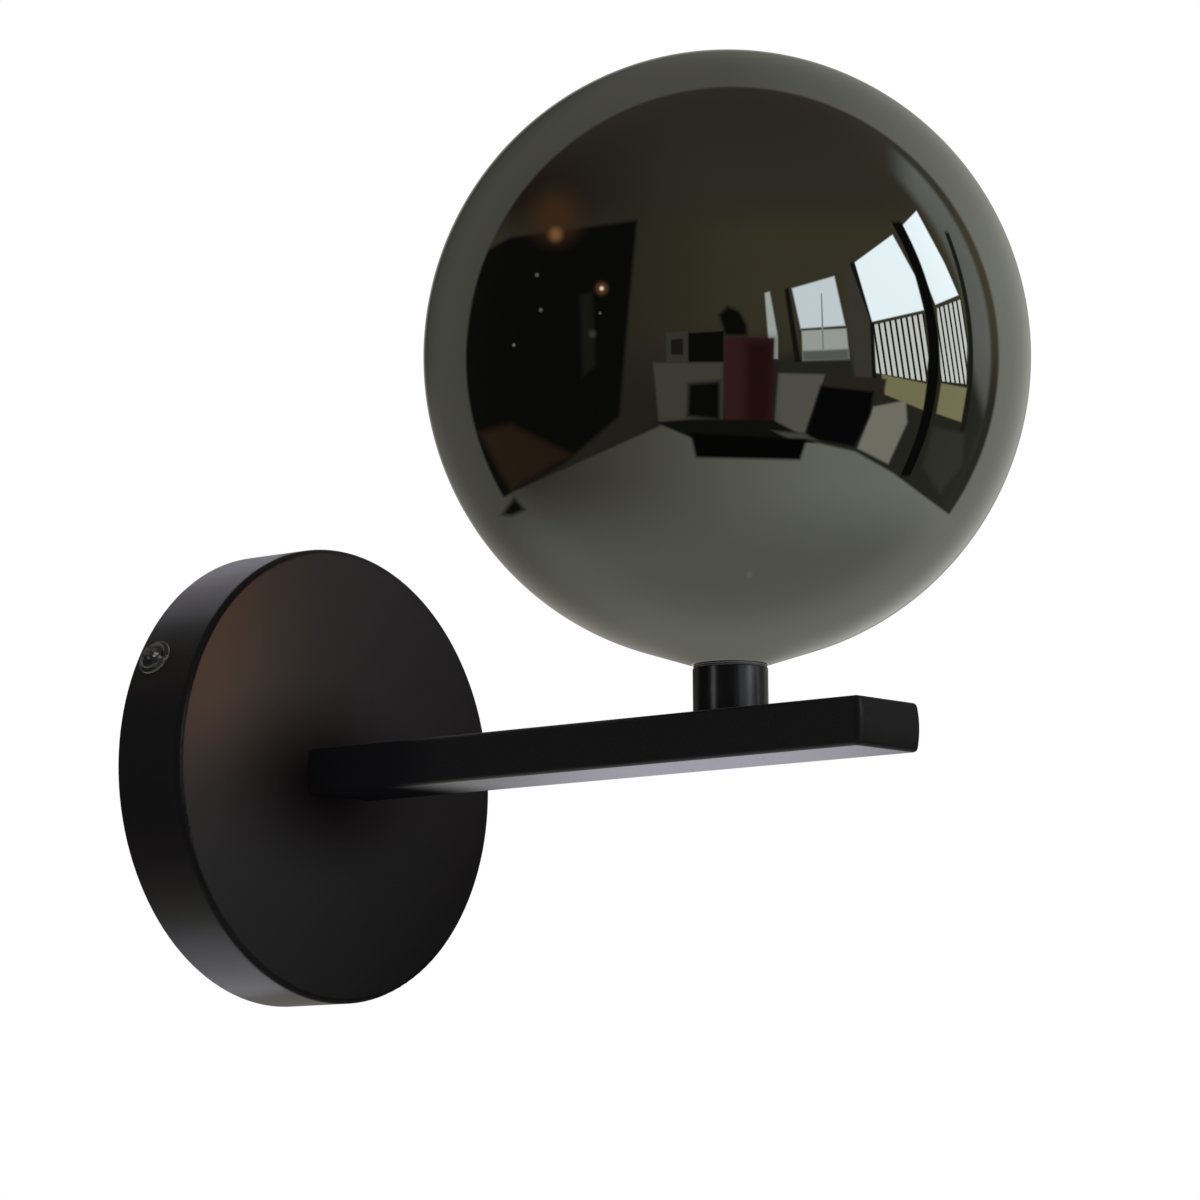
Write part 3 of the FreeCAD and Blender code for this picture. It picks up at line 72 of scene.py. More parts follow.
class Value:
    """A number, colour or vector socket on which sums can be written as plain Python."""

    def __init__(self, graph: "Graph", socket: bpy.types.NodeSocket) -> None:
        """Wraps a socket of a graph."""
        self.graph = graph
        self.socket = socket

    def _math(self, operation: str, *others: "Number") -> "Value":
        """One Math node on this value and others.

        Args:
            operation: the Math node's operation.
            others: the further operands.

        Returns:
            The node's result.
        """
        values = {0: self, **{place: other for place, other in enumerate(others, 1)}}
        return self.graph.add("ShaderNodeMath", {"operation": operation}, values).out(0)

    def __add__(self, other: "Number") -> "Value":
        """Sum."""
        return self._math("ADD", other)

    __radd__ = __add__

    def __sub__(self, other: "Number") -> "Value":
        """Difference."""
        return self._math("SUBTRACT", other)

    def __rsub__(self, other: "Number") -> "Value":
        """A number minus this value."""
        return self._math("MULTIPLY", -1.0) + other

    def __mul__(self, other: "Number") -> "Value":
        """Product."""
        return self._math("MULTIPLY", other)

    __rmul__ = __mul__

    def __truediv__(self, other: "Number") -> "Value":
        """Quotient."""
        return self._math("DIVIDE", other)

    def __rtruediv__(self, other: "Number") -> "Value":
        """A number over this value."""
        return self._math("POWER", -1.0) * other

    def __pow__(self, other: "Number") -> "Value":
        """Power."""
        return self._math("POWER", other)

    def root(self) -> "Value":
        """Square root."""
        return self._math("SQRT")

    def size(self) -> "Value":
        """The value without its sign."""
        return self._math("ABSOLUTE")

    def sine(self) -> "Value":
        """Sine of an angle in radians."""
        return self._math("SINE")

    def angle_with(self, other: "Number") -> "Value":
        """Arc tangent of this value over another."""
        return self._math("ARCTAN2", other)

    def least(self, other: "Number") -> "Value":
        """The smaller of two values."""
        return self._math("MINIMUM", other)

    def most(self, other: "Number") -> "Value":
        """The larger of two values."""
        return self._math("MAXIMUM", other)

    def step(self, low: float, high: float) -> "Value":
        """A soft step: 0 below low, 1 above high, or the other way round where low is above high."""
        falling = low > high
        ends = {"From Min": min(low, high), "From Max": max(low, high), "Value": self}
        settings = {"interpolation_type": "SMOOTHSTEP"}
        rising = self.graph.add("ShaderNodeMapRange", settings, ends).out("Result")
        return 1 - rising if falling else rising

    def remap(self, low: float, high: float, to_low: float, to_high: float) -> "Value":
        """The value carried in a straight line from one range to another, held at its ends."""
        ends = {"From Min": low, "From Max": high, "To Min": to_low, "To Max": to_high, "Value": self}
        return self.graph.add("ShaderNodeMapRange", {}, ends).out("Result")

    def parts(self) -> tuple["Value", "Value", "Value"]:
        """The three numbers of a vector."""
        split = self.graph.add("ShaderNodeSeparateXYZ", {}, {0: self})
        return split.out(0), split.out(1), split.out(2)

    def dot(self, other: Sequence[float]) -> "Value":
        """Dot product with a fixed vector."""
        values = {0: self, 1: tuple(other)}
        return self.graph.add("ShaderNodeVectorMath", {"operation": "DOT_PRODUCT"}, values).out("Value")

    def plus(self, other: Sequence[float]) -> "Value":
        """Vector sum with a fixed vector."""
        values = {0: self, 1: tuple(other)}
        return self.graph.add("ShaderNodeVectorMath", {"operation": "ADD"}, values).out(0)

    def length(self) -> "Value":
        """Length of a vector."""
        return self.graph.add("ShaderNodeVectorMath", {"operation": "LENGTH"}, {0: self}).out("Value")


Number = Union[Value, float, int]
Content = Union[Value, float, int, str, Sequence[float]]


class Added:
    """A node that has been put into a graph."""

    def __init__(self, graph: "Graph", node: bpy.types.Node) -> None:
        """Keeps the node with its graph."""
        self.graph = graph
        self.node = node

    def out(self, which: Union[int, str] = 0) -> Value:
        """One of the node's outputs, by place or by name."""
        return Value(self.graph, self.node.outputs[which])


class Graph:
    """Builds the nodes of one material or of the world."""

    def __init__(self, tree: bpy.types.NodeTree) -> None:
        """Starts from an empty tree."""
        self.tree = tree
        tree.nodes.clear()

    def add(self, kind: str, settings: dict[str, object], values: dict[Union[int, str], Content]) -> Added:
        """Adds a node.

        Args:
            kind: the node's type.
            settings: its own properties, set first; "stops" lists a ramp's positions and colours.
            values: a number, colour, vector or link for each socket, by place or name.

        Returns:
            The node.
        """
        node = self.tree.nodes.new(kind)
        for name, setting in settings.items():
            if name == "stops":
                self._set_stops(node.color_ramp, setting)
            else:
                setattr(node, name, setting)
        for name, content in values.items():
            socket = node.inputs[name]
            if isinstance(content, Value):
                self.tree.links.new(content.socket, socket)
            else:
                socket.default_value = content
        return Added(self, node)

    @staticmethod
    def _set_stops(ramp: bpy.types.ColorRamp, stops: Sequence[tuple[float, Sequence[float]]]) -> None:
        """Gives a colour ramp its stops."""
        while len(ramp.elements) < len(stops):
            ramp.elements.new(1.0)
        for element, (position, colour) in zip(ramp.elements, stops):
            element.position = position
            element.color = (*colour, 1.0)

    def place(self) -> Value:
        """Object coordinates, which are the row's own metres."""
        return self.add("ShaderNodeTexCoord", {}, {}).out("Object")

    def noise(self, scale: float, detail: float) -> Value:
        """Noise between 0 and 1 on the object's own coordinates.

        Args:
            scale: how many patches go into a metre.
            detail: how many finer layers it has.

        Returns:
            The noise.
        """
        values = {"Vector": self.place(), "Scale": scale, "Detail": detail}
        return self.add("ShaderNodeTexNoise", {"noise_dimensions": "3D"}, values).out("Fac")

    def mix(self, factor: Number, first: Content, second: Content) -> Value:
        """Blends two colours, the first at factor 0."""
        first = (*first, 1.0) if isinstance(first, tuple) and len(first) == 3 else first
        second = (*second, 1.0) if isinstance(second, tuple) and len(second) == 3 else second
        node = self.add("ShaderNodeMix", {"data_type": "RGBA"}, {0: factor, 6: first, 7: second})
        return node.out(2)

    def bump(self, height: Value, depth: float) -> Value:
        """A normal from a height between 0 and 1 that stands for a depth in metres."""
        return self.add("ShaderNodeBump", {}, {"Height": height, "Distance": depth, "Strength": 1.0}).out()


# ------------------------------------------------------------------ finishes


@dataclass(frozen=True)
class Finish:
    """A plain finish: its colour wavers a little, and fine bumps break its gloss.

    Attributes:
        name: the material's name.
        colour: base colour, linear.
        second: the colour towards which it wavers.
        metal: 1 for bare metal and 0 for anything else.
        rough: least and greatest roughness.
        patch: how many colour patches go into a metre.
        grain: how many grains go into a metre.
        relief: depth of the grain, in metres.
        constants: further settings of the surface that don't change over it.
    """

    name: str
    colour: Tone
    second: Tone
    metal: float = 0.0
    rough: tuple[float, float] = (0.35, 0.45)
    patch: float = 120.0
    grain: float = 2500.0
    relief: float = 0.00001
    constants: dict[str, float] = field(default_factory=dict)

    def colour_on(self, graph: Graph, patches: Value) -> Value:
        """The colour over the surface."""
        return graph.mix(patches, self.colour, self.second)

    def material(self) -> bpy.types.Material:
        """Makes the material, or finds it where it is there already.

        Returns:
            The material.
        """
        label = f"{self.name}_finish"
        made = bpy.data.materials.get(label)
        if made is not None:
            return made
        made = bpy.data.materials.new(label)
        made.use_nodes = True
        graph = Graph(made.node_tree)
        graph.add("ShaderNodeOutputMaterial", {}, {"Surface": self.shader(graph)})
        return made

    def shader(self, graph: Graph) -> Value:
        """The surface's shader."""
        patches = graph.noise(self.patch, 3.0)
        grain = graph.noise(self.grain, 4.0)
        values = {
            "Base Color": self.colour_on(graph, patches),
            "Metallic": self.metal,
            "Roughness": grain.remap(*NOISE_SPAN, *self.rough),
            "Normal": graph.bump(grain, self.relief),
            **self.constants,
        }
        return graph.add("ShaderNodeBsdfPrincipled", {}, values).out()


@dataclass(frozen=True)
class StripedWire(Finish):
    """Green insulation with yellow bands."""

    def colour_on(self, graph: Graph, patches: Value) -> Value:
        """Yellow in slanting bands about 5 mm apart, green between them."""
        wave = (graph.place().dot((0.6, 0.55, 0.58)) * (TURN / 0.005)).sine()
        return graph.mix(wave.step(0.15, 0.35), self.colour, self.second)


@dataclass(frozen=True)
class BoardFinish(Finish):
    """A white circuit board whose light chips, which stand off it, are yellow.

    Attributes:
        half: half the board's thickness with a little to spare, in metres.
        middle: distance of its middle plane from the wall.
        edge: how far the change of colour reaches.
    """

    half: float = 0.00052
    middle: float = STEM_AXIS * MM
    edge: float = 0.00003

    def colour_on(self, graph: Graph, patches: Value) -> Value:
        """Yellow where a point lies further from the board's middle plane than its faces."""
        _, depth, _ = graph.place().parts()
        proud = (depth + self.middle).size()
        return graph.mix(proud.step(self.half, self.half + self.edge), self.colour, self.second)


class Place(Enum):
    """Where a paint has its dull parts and its painted shade."""

    ROSE = "rose"
    ARM = "arm"
    STEM = "stem"


@dataclass(frozen=True)
class Paint(Finish):
    """Satin black paint with painted shade: a darker copy without gloss where neighbours keep the light off.

    Attributes:
        place: the piece that it is on.
        dull_shade_share: how dark the darker copy's darkest grains are, as a share of the colour.
        dull_shade_rough: least and greatest roughness of the darker copy.
    """

    place: Place = Place.STEM
    dull_shade_share: float = 0.55
    dull_shade_rough: tuple[float, float] = (0.55, 0.65)

    def dullness_and_painted_shade(self, graph: Graph) -> Value:
        """How much darker copy: painted shade on the arm near the rose, duller at the cap, random on the
        stem.

        On the rose, only on the face: painted shade round the arm's root, deepening towards the lower right.

        Returns:
            0 for satin and 1 for the darker copy.
        """
        across, depth, up = graph.place().parts()
        if self.place is Place.STEM:
            return graph.noise(self.patch, 1.0) * 0.1
        if self.place is Place.ARM:
            # painted shade: darker and without gloss next to the rose
            rose_painted_shade = depth.step(-0.074, -0.048)
            cap = depth.step(-0.1985, -0.2000) * 0.72
            return rose_painted_shade.most(cap)
        # painted shade across the rose's face, deepening towards the lower right
        slant_painted_shade = ((across - up) / 0.085).remap(-1.0, 1.0, 0.36, 0.90)
        # painted shade round the arm's root
        beside, below = (across + 0.010) / 1.7, up + 0.002
        root = (beside * beside + below * below).root().step(0.030, 0.0) * 0.40
        face = depth.step(-0.0195, -0.0215)
        return (slant_painted_shade + root).least(0.995) * face

    def shader(self, graph: Graph) -> Value:
        """Satin paint blended with a darker copy without gloss, which carries the painted shade."""
        glossy = super().shader(graph)
        grain = graph.noise(self.grain, 4.0)
        # the darker copy without gloss draws the painted shade
        darkest = tuple(self.dull_shade_share * part for part in self.colour)
        values = {
            "Base Color": graph.mix(grain, darkest, self.colour),
            "Roughness": grain.remap(*NOISE_SPAN, *self.dull_shade_rough),
            "Specular IOR Level": 0.0,
        }
        dull_and_shaded = graph.add("ShaderNodeBsdfPrincipled", {}, values).out()
        return graph.add("ShaderNodeMixShader", {}, {0: self.dullness_and_painted_shade(graph), 1: glossy, 2: dull_and_shaded}).out()


# Three copies of one satin black paint: the arm's base colour lighter and the stem's darker, as painted light
# and shade of how each piece is lit.
ROSE_PAINT = Paint("satin_black_rose", (0.0056, 0.0052, 0.0060), (0.0068, 0.0063, 0.0073), rough=(0.27, 0.31),
                   patch=300.0, grain=6500.0, relief=0.000002, constants={"Specular IOR Level": 0.12},
                   place=Place.ROSE)
ARM_PAINT = Paint("satin_black_arm", (0.0080, 0.0073, 0.0084), (0.0094, 0.0086, 0.0098), rough=(0.25, 0.29),
                  patch=300.0, grain=6500.0, relief=0.000002, constants={"Specular IOR Level": 0.16},
                  place=Place.ARM)
STEM_PAINT = Paint("satin_black_stem", (0.0030, 0.0027, 0.0033), (0.0038, 0.0034, 0.0041), rough=(0.22, 0.26),
                   patch=300.0, grain=6500.0, relief=0.000002, constants={"Specular IOR Level": 0.09},
                   place=Place.STEM)
GLOSS_BLACK = Finish("gloss_black_screw", (0.0050, 0.0050, 0.0055), (0.0070, 0.0070, 0.0075),
                     rough=(0.12, 0.18), grain=3000.0, relief=0.000004)
ZINC = Finish("zinc_plate", (0.52, 0.53, 0.54), (0.60, 0.60, 0.58), metal=1.0, rough=(0.24, 0.40),
              patch=220.0, grain=2600.0, relief=0.000006)
BRASS = Finish("turned_brass", (0.62, 0.44, 0.17), (0.70, 0.52, 0.24), metal=1.0, rough=(0.18, 0.30),
               patch=260.0, grain=2600.0, relief=0.000004)
TINNED = Finish("tinned_sheet", (0.60, 0.59, 0.56), (0.68, 0.67, 0.64), metal=1.0, rough=(0.30, 0.44),
                patch=300.0, grain=2600.0, relief=0.000006)
WHITE_PLASTIC = Finish("block_plastic", (0.72, 0.72, 0.69), (0.76, 0.76, 0.73), rough=(0.34, 0.46),
                       grain=2200.0, relief=0.000008)
CERAMIC = Finish("fired_ceramic", (0.74, 0.72, 0.67), (0.79, 0.77, 0.72), rough=(0.30, 0.44),
                 patch=180.0, grain=1600.0, relief=0.000012)
# The gasket is drawn near-black as painted shade of the dark joint under the glass.
GASKET_PAINTED_SHADE = Finish("black_silicone", (0.008, 0.008, 0.008), (0.012, 0.012, 0.012), rough=(0.50, 0.62),
                  grain=1800.0, relief=0.000006)
RING_METAL = Finish("blackened_ring", (0.020, 0.020, 0.021), (0.028, 0.028, 0.030), metal=1.0,
                    rough=(0.30, 0.40), grain=2600.0, relief=0.000005)
SMOKED_MIRROR = Finish("smoked_mirror", (0.090, 0.093, 0.085), (0.095, 0.098, 0.090), metal=1.0,
                       rough=(0.012, 0.022), patch=14.0, grain=40.0, relief=0.0)
LAMP_FOOT = Finish("lamp_foot_plastic", (0.74, 0.74, 0.71), (0.78, 0.78, 0.75), rough=(0.28, 0.38),
                   grain=2200.0, relief=0.000006)
FROSTED = Finish("frosted_glass", (0.86, 0.86, 0.83), (0.90, 0.90, 0.87), rough=(0.40, 0.52),
                 grain=5200.0, relief=0.000004, constants={"Transmission Weight": 0.45})
BOARD = BoardFinish("lamp_circuit_board", (0.70, 0.71, 0.68), (0.86, 0.62, 0.10), rough=(0.34, 0.46),
                    grain=2200.0, relief=0.000004)
WIRE_BROWN = Finish("brown_insulation", (0.085, 0.034, 0.016), (0.105, 0.044, 0.022), rough=(0.36, 0.46),
                    grain=2200.0, relief=0.000006)
WIRE_BLUE = Finish("blue_insulation", (0.014, 0.085, 0.30), (0.020, 0.105, 0.36), rough=(0.36, 0.46),
                   grain=2200.0, relief=0.000006)
WIRE_EARTH = StripedWire("earth_insulation", (0.03, 0.21, 0.035), (0.72, 0.56, 0.03), rough=(0.36, 0.46),
                         grain=2200.0, relief=0.000006)


def dress(finish: Finish, nodes: Iterable[str]) -> None:
    """Gives CAD nodes a finish.

    Args:
        finish: the finish.
        nodes: the nodes' names.
    """
    for name in nodes:
        node = frame["nodes"][name]
        node.data.materials.clear()
        node.data.materials.append(finish.material())
        LOG.info("%s: %s", name, finish.name)


# ------------------------------------------------------------------ surfaces


@dataclass
class Surface:
    """Points on a grid of rows and columns, in millimetres, that becomes a closed mesh.

    Attributes:
        points: an array of rows x columns x 3.
        wrap_rows: whether the last row joins the first, as the last column always does.
        first_pole: whether the first row is one point.
        last_pole: whether the last row is one point.
    """

    points: np.ndarray
    wrap_rows: bool = False
    first_pole: bool = False
    last_pole: bool = False

    def arrays(self) -> tuple[np.ndarray, list[list[int]]]:
        """Vertices in metres and faces, with each pole as a single vertex.

        Returns:
            The vertices, and the faces as lists of vertex numbers.
        """
        rows, columns, _ = self.points.shape
        index = np.arange(rows * columns).reshape(rows, columns)
        if self.first_pole:
            index[0] = index[0, 0]
        if self.last_pole:
            index[-1] = index[-1, 0]
        lower = index if self.wrap_rows else index[:-1]
        upper = np.roll(index, -1, 0) if self.wrap_rows else index[1:]
        beside, beyond = np.roll(lower, -1, 1), np.roll(upper, -1, 1)
        quads = np.stack([lower, beside, beyond, upper], -1).reshape(-1, 4)
        used, compact = np.unique(quads, return_inverse=True)
        quads = compact.reshape(-1, 4)
        faces = [list(dict.fromkeys(quad)) for quad in quads.tolist()]
        return self.points.reshape(-1, 3)[used] * MM, [face for face in faces if len(face) > 2]


def revolve(profile: Sequence[Sequence[float]], segments: int = 128, closed: bool = False) -> Surface:
    """A turned shape: x = r cos t, y = r sin t, z = h, for each profile point (r, h).

    Args:
        profile: radius and height of each point, from below outwards and upwards.
        segments: how many steps go round.
        closed: whether the last point joins the first, as on a ring.

    Returns:
        The surface.
    """
    profile = np.asarray(profile, float)
    angles = np.linspace(0, TURN, segments, endpoint=False)
    radii, heights = profile[:, :1], profile[:, 1:]
    points = np.stack([
        radii * np.cos(angles), radii * np.sin(angles), np.broadcast_to(heights, (len(profile), segments)),
    ], -1)
    poles = (not closed and profile[0, 0] < 1e-9, not closed and profile[-1, 0] < 1e-9)
    return Surface(points, wrap_rows=closed, first_pole=poles[0], last_pole=poles[1])


def arc(centre: Sequence[float], radius: float, start: float, end: float, count: int) -> np.ndarray:
    """Points (cx + r cos a, cy + r sin a) for count angles a from start to end, in degrees."""
    angles = np.radians(np.linspace(start, end, count))
    return np.stack([centre[0] + radius * np.cos(angles), centre[1] + radius * np.sin(angles)], -1)


def line(start: Sequence[float], end: Sequence[float], count: int = 2) -> np.ndarray:
    """Points in equal steps along a straight line, ends included."""
    return np.linspace(np.asarray(start, float), np.asarray(end, float), count)


class Piece:
    """One visible mesh of the light."""

    def __init__(self, name: str, body: str, finish: Finish, slot: str) -> None:
        """Names the piece, its CAD body, its finish and the record's material slot."""
        self.name = name
        self.body = body
        self.finish = finish
        self.slot = slot
        self.vertices: list[np.ndarray] = []
        self.faces: list[list[int]] = []

    def add(self, surface: Surface, place: Optional[Matrix] = None) -> "Piece":
        """Adds a surface to the mesh.

        Args:
            surface: the surface.
            place: a matrix in metres that carries it to its place.

        Returns:
            The piece itself.
        """
        vertices, faces = surface.arrays()
        if place is not None:
            turn = np.array(place.to_3x3())
            vertices = vertices @ turn.T + np.array(place.translation)
        start = sum(len(part) for part in self.vertices)
        self.vertices.append(vertices)
        self.faces += [[start + number for number in face] for face in faces]
        return self

    def build(self, *replaced: str, smooth_angle: float = 35.0) -> bpy.types.Object:
        """Makes the object, lets it ride on its body and hides the CAD nodes that it stands for.

        Args:
            replaced: names of those nodes.
            smooth_angle: edges sharper than this many degrees stay sharp.

        Returns:
            The object.
        """
        mesh = bpy.data.meshes.new(self.name)
        mesh.from_pydata(np.concatenate(self.vertices).tolist(), [], self.faces)
        mesh.shade_smooth()
        mesh.set_sharp_from_angle(angle=math.radians(smooth_angle))
        mesh.materials.append(self.finish.material())
        made = bpy.data.objects.new(self.name, mesh)
        bpy.context.scene.collection.objects.link(made)
        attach(made, self.body)
        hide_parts(*replaced)
        LOG.info("%s: %d faces, stands for %s", self.name, len(self.faces), ", ".join(replaced))
        return made


# ------------------------------------------------------------------ the globe and its thread


@dataclass(frozen=True)
class Thread:
    """A round screw thread: at height z and turn t the radius shrinks by d (1 - cos 2 pi (z / p - t)) / 2.

    On a rod that cuts its grooves, and in a hole it raises its ridges.

    Attributes:
        pitch: rise per turn, in millimetres.
        depth: from crest to root.
        low: where it begins.
        high: where it ends.
    """

    pitch: float
    depth: float
    low: float
    high: float

    def on(self, surface: Surface, wall: float) -> Surface:
        """Gives the thread to every point of a turned surface that lies on a wall of this radius.

        Args:
            surface: the turned surface, round its own axis.
            wall: radius of the plain wall.

        Returns:
            The surface with its thread.
        """
        x, y, z = (surface.points[..., axis] for axis in range(3))
        radius = np.hypot(x, y)
        turn = np.arctan2(y, x) / TURN
        run_in = np.clip((z - self.low) / self.pitch * 2, 0, 1)
        run_out = np.clip((self.high - z) / self.pitch * 2, 0, 1)
        cut = self.depth * run_in * run_out * (1 - np.cos(TURN * (z / self.pitch - turn))) / 2
        cut = np.where(np.abs(radius - wall) < 0.02, cut, 0.0)
        share = 1 - cut / np.maximum(radius, 1e-9)
        surface.points = np.stack([x * share, y * share, z], -1)
        return surface


@dataclass
class Globe:
    """The blown globe with its mirror coating: a little taller than wide, with a straight foot.

    Attributes:
        width: outside radius across, in millimetres.
        height: outside radius upwards.
        wall: thickness of the glass.
        opening: radius of the ground opening.
        lip: radius of its rounded edge.
        foot: radius inside which the glass runs straight down to the opening.
        axis: distance of its axis from the wall.
        top: height of its highest point.
    """

    width: float = 75.2
    height: float = 76.1
    wall: float = 2.0
    opening: float = 8.95
    lip: float = 0.5
    foot: float = 22.5
    axis: float = STEM_AXIS
    top: float = 171.02

    def _side(self, inset: float, count: int) -> np.ndarray:
        """One wall from the top pole down: an ellipse, then the straight line that touches it."""
        width, height = self.width - inset, self.height - inset
        start = math.degrees(math.acos(self.foot / width))
        angles = np.radians(np.linspace(90.0, -start, count))
        curve = np.stack([width * np.cos(angles), height * np.sin(angles)], -1)
        slope = height / width * self.foot / math.sqrt(width ** 2 - self.foot ** 2)
        radii = np.linspace(self.foot, self.opening + self.lip, 12)[1:]
        cone = np.stack([radii, curve[-1, 1] - slope * (self.foot - radii)], -1)
        return np.concatenate([curve, cone])

    def edge(self) -> float:
        """Height of the glass's lowest edge."""
        return self.top - self.height + self._side(0.0, 200)[-1, 1]

    def profile(self) -> np.ndarray:
        """From the outer top pole down the outside, round the lip and up the inside to the inner pole."""
        outside, inside = self._side(0.0, 150), self._side(self.wall, 110)[::-1]
        lower = arc((self.opening + self.lip, outside[-1, 1] + self.lip), self.lip, -92.0, -180.0, 7)
        upper = arc((self.opening + self.lip, inside[0, 1] - self.lip), self.lip, 180.0, 92.0, 7)
        whole = np.concatenate([outside, lower, upper, inside])
        whole[0, 0] = whole[-1, 0] = 0.0
        return whole

    def build(self) -> None:
        """Builds the glass and places it on the stem's axis."""
        surface = revolve(self.profile()[::-1], 256)
        place = Matrix.Translation((0, -self.axis * MM, (self.top - self.height) * MM))
        Piece("globe_shell", "globe", SMOKED_MIRROR, "smoked_mirror").add(surface, place).build("globe_glass")


@dataclass
class Stem:
    """The cup on the arm, the threaded collar in it, and the gasket and threaded ring under the glass.

    Attributes:
        axis: distance of the stem's axis from the wall, in millimetres.
        arm: height of the arm's top.
        rim: height of the cup's rim.
        radius: the cup's outside.
        chamfer: its broken edges.
        floor: thickness of its floor.
        hole: radius of the nipple's hole.
        collar: outside of the collar's thread.
        bore: inside of the collar.
        lip: inside of the collar's turned-in foot.
        collar_foot: height of that foot.
        collar_top: height of the collar's upper edge.
        gauge: the collar's wall and foot.
        ring_bore: inside of the threaded ring.
        ring_wall: outside of the threaded ring.
        flange: radius of its flange.
        flange_gauge: thickness of that flange.
        slack: room between the collar and the cup, and under the gasket.
        bevel: broken edges of the collar and of the cup's mouth.
        rim_round: rounding of the cup's outer rim.
        gasket_drop: how far under the glass's edge the gasket ends.
        ring_drop: how far under the glass's edge the ring's flange begins.
        screw: the collar's thread.
        ring_thread: depth of the ring's thread.
    """

    axis: float = STEM_AXIS
    arm: float = 6.0
    rim: float = 17.28
    radius: float = 9.3
    chamfer: float = 0.4
    floor: float = 1.5
    hole: float = 4.25
    collar: float = 8.0
    bore: float = 7.2
    lip: float = 5.8
    collar_foot: float = 14.6
    collar_top: float = 30.6
    gauge: float = 0.8
    ring_bore: float = 8.3
    ring_wall: float = 8.8
    flange: float = 9.0
    flange_gauge: float = 0.25
    slack: float = 0.05
    bevel: float = 0.3
    rim_round: float = 0.25
    gasket_drop: float = 0.32
    ring_drop: float = 0.29
    screw: Thread = Thread(3.0, 0.30, 14.8, 30.5)
    ring_thread: float = 0.2

    def _place(self) -> Matrix:
        """Where the stem's axis stands."""
        return Matrix.Translation((0, -self.axis * MM, 0))

    def _piece(self, name: str, body: str, finish: Finish, slot: str, surface: Surface, node: str) -> None:
        """Makes one turned piece on the stem's axis, in place of a CAD node."""
        Piece(name, body, finish, slot).add(surface, self._place()).build(node)

    def build(self, edge: float) -> None:
        """Builds the four pieces.

        Args:
            edge: height of the glass's lowest edge.
        """
        self._cup()
        self._collar()
        self._gasket(edge)
        self._ring(edge)

    def _cup(self) -> None:
        """The cup: floor, rounded outer rim and bored mouth, turned."""
        inner, edge, mouth = self.collar + self.slack, self.radius - self.chamfer, self.rim_round
        profile = np.concatenate([
            line((self.hole, self.arm), (edge, self.arm)),
            arc((edge, self.arm + self.chamfer), self.chamfer, -80, 0, 6),
            arc((self.radius - mouth, self.rim - mouth), mouth, 0, 90, 6),
            line((inner + self.bevel, self.rim), (inner, self.rim - self.bevel)),
            line((inner, self.arm + self.floor), (self.hole, self.arm + self.floor)),
        ])
        cup = revolve(profile, 160, True)
        self._piece("stem_cup_turned", "wall_unit", STEM_PAINT, "black_paint", cup, "stem_cup")

    def _collar(self) -> None:
        """The collar: a thin tube with a turned-in foot and a thread outside."""
        outside, foot, top = self.collar, self.collar_foot, self.collar_top
        profile = np.concatenate([
            line((self.lip, foot), (outside - self.bevel, foot)),
            line((outside, foot + self.bevel), (outside, top - self.bevel), 120),
            line((outside - self.bevel, top), (self.bore, top)),
            line((self.bore, foot + self.gauge), (self.lip, foot + self.gauge)),
        ])
        collar = self.screw.on(revolve(profile, 144, True), outside)
        self._piece("collar_threaded", "wall_unit", RING_METAL, "black_paint", collar, "thread_collar")

    def _gasket(self, edge: float) -> None:
        """The gasket between cup and glass: a rounded oblong, turned.

        Its radius is r + a |cos t|^1/2 and its height h + b |sin t|^1/2, each with the wave's own sign.

        Args:
            edge: height of the glass's lowest edge.
        """
        inner, outer = self.collar + self.slack, self.radius - 0.2
        low, high = self.rim + self.slack, edge - self.gasket_drop
        turns = np.radians(np.linspace(0, 360, 24, endpoint=False))
        out, up = (np.sign(wave) * np.abs(wave) ** 0.5 for wave in (np.cos(turns), np.sin(turns)))
        profile = np.stack([
            (inner + outer) / 2 + (outer - inner) / 2 * out,
            (low + high) / 2 + (high - low) / 2 * up,
        ], -1)
        gasket = revolve(profile, 128, True)
        # near-black gasket: painted shade of the joint under the glass
        self._piece("gasket_round", "gasket", GASKET_PAINTED_SHADE, "silicone", gasket, "globe_gasket")

    def _ring(self, edge: float) -> None:
        """The flanged ring in the glass, with a thread in its bore.

        Args:
            edge: height of the glass's lowest edge.
        """
        foot, top, bore = edge - self.ring_drop, self.collar_top - 0.1, self.ring_bore
        profile = np.concatenate([
            line((bore, foot), (self.flange, foot)),
            line((self.flange, foot + self.flange_gauge), (self.ring_wall, foot + self.flange_gauge)),
            line((self.ring_wall, top), (bore, top)),
            line((bore, top - 0.1), (bore, foot + 0.1), 110),
        ])
        thread = Thread(self.screw.pitch, self.ring_thread, foot + 0.2, top - 0.2)
        ring = thread.on(revolve(profile, 144, True), bore)
        self._piece("ring_threaded", "globe", RING_METAL, "ring_metal", ring, "globe_thread_ring")


# ------------------------------------------------------------------ screws


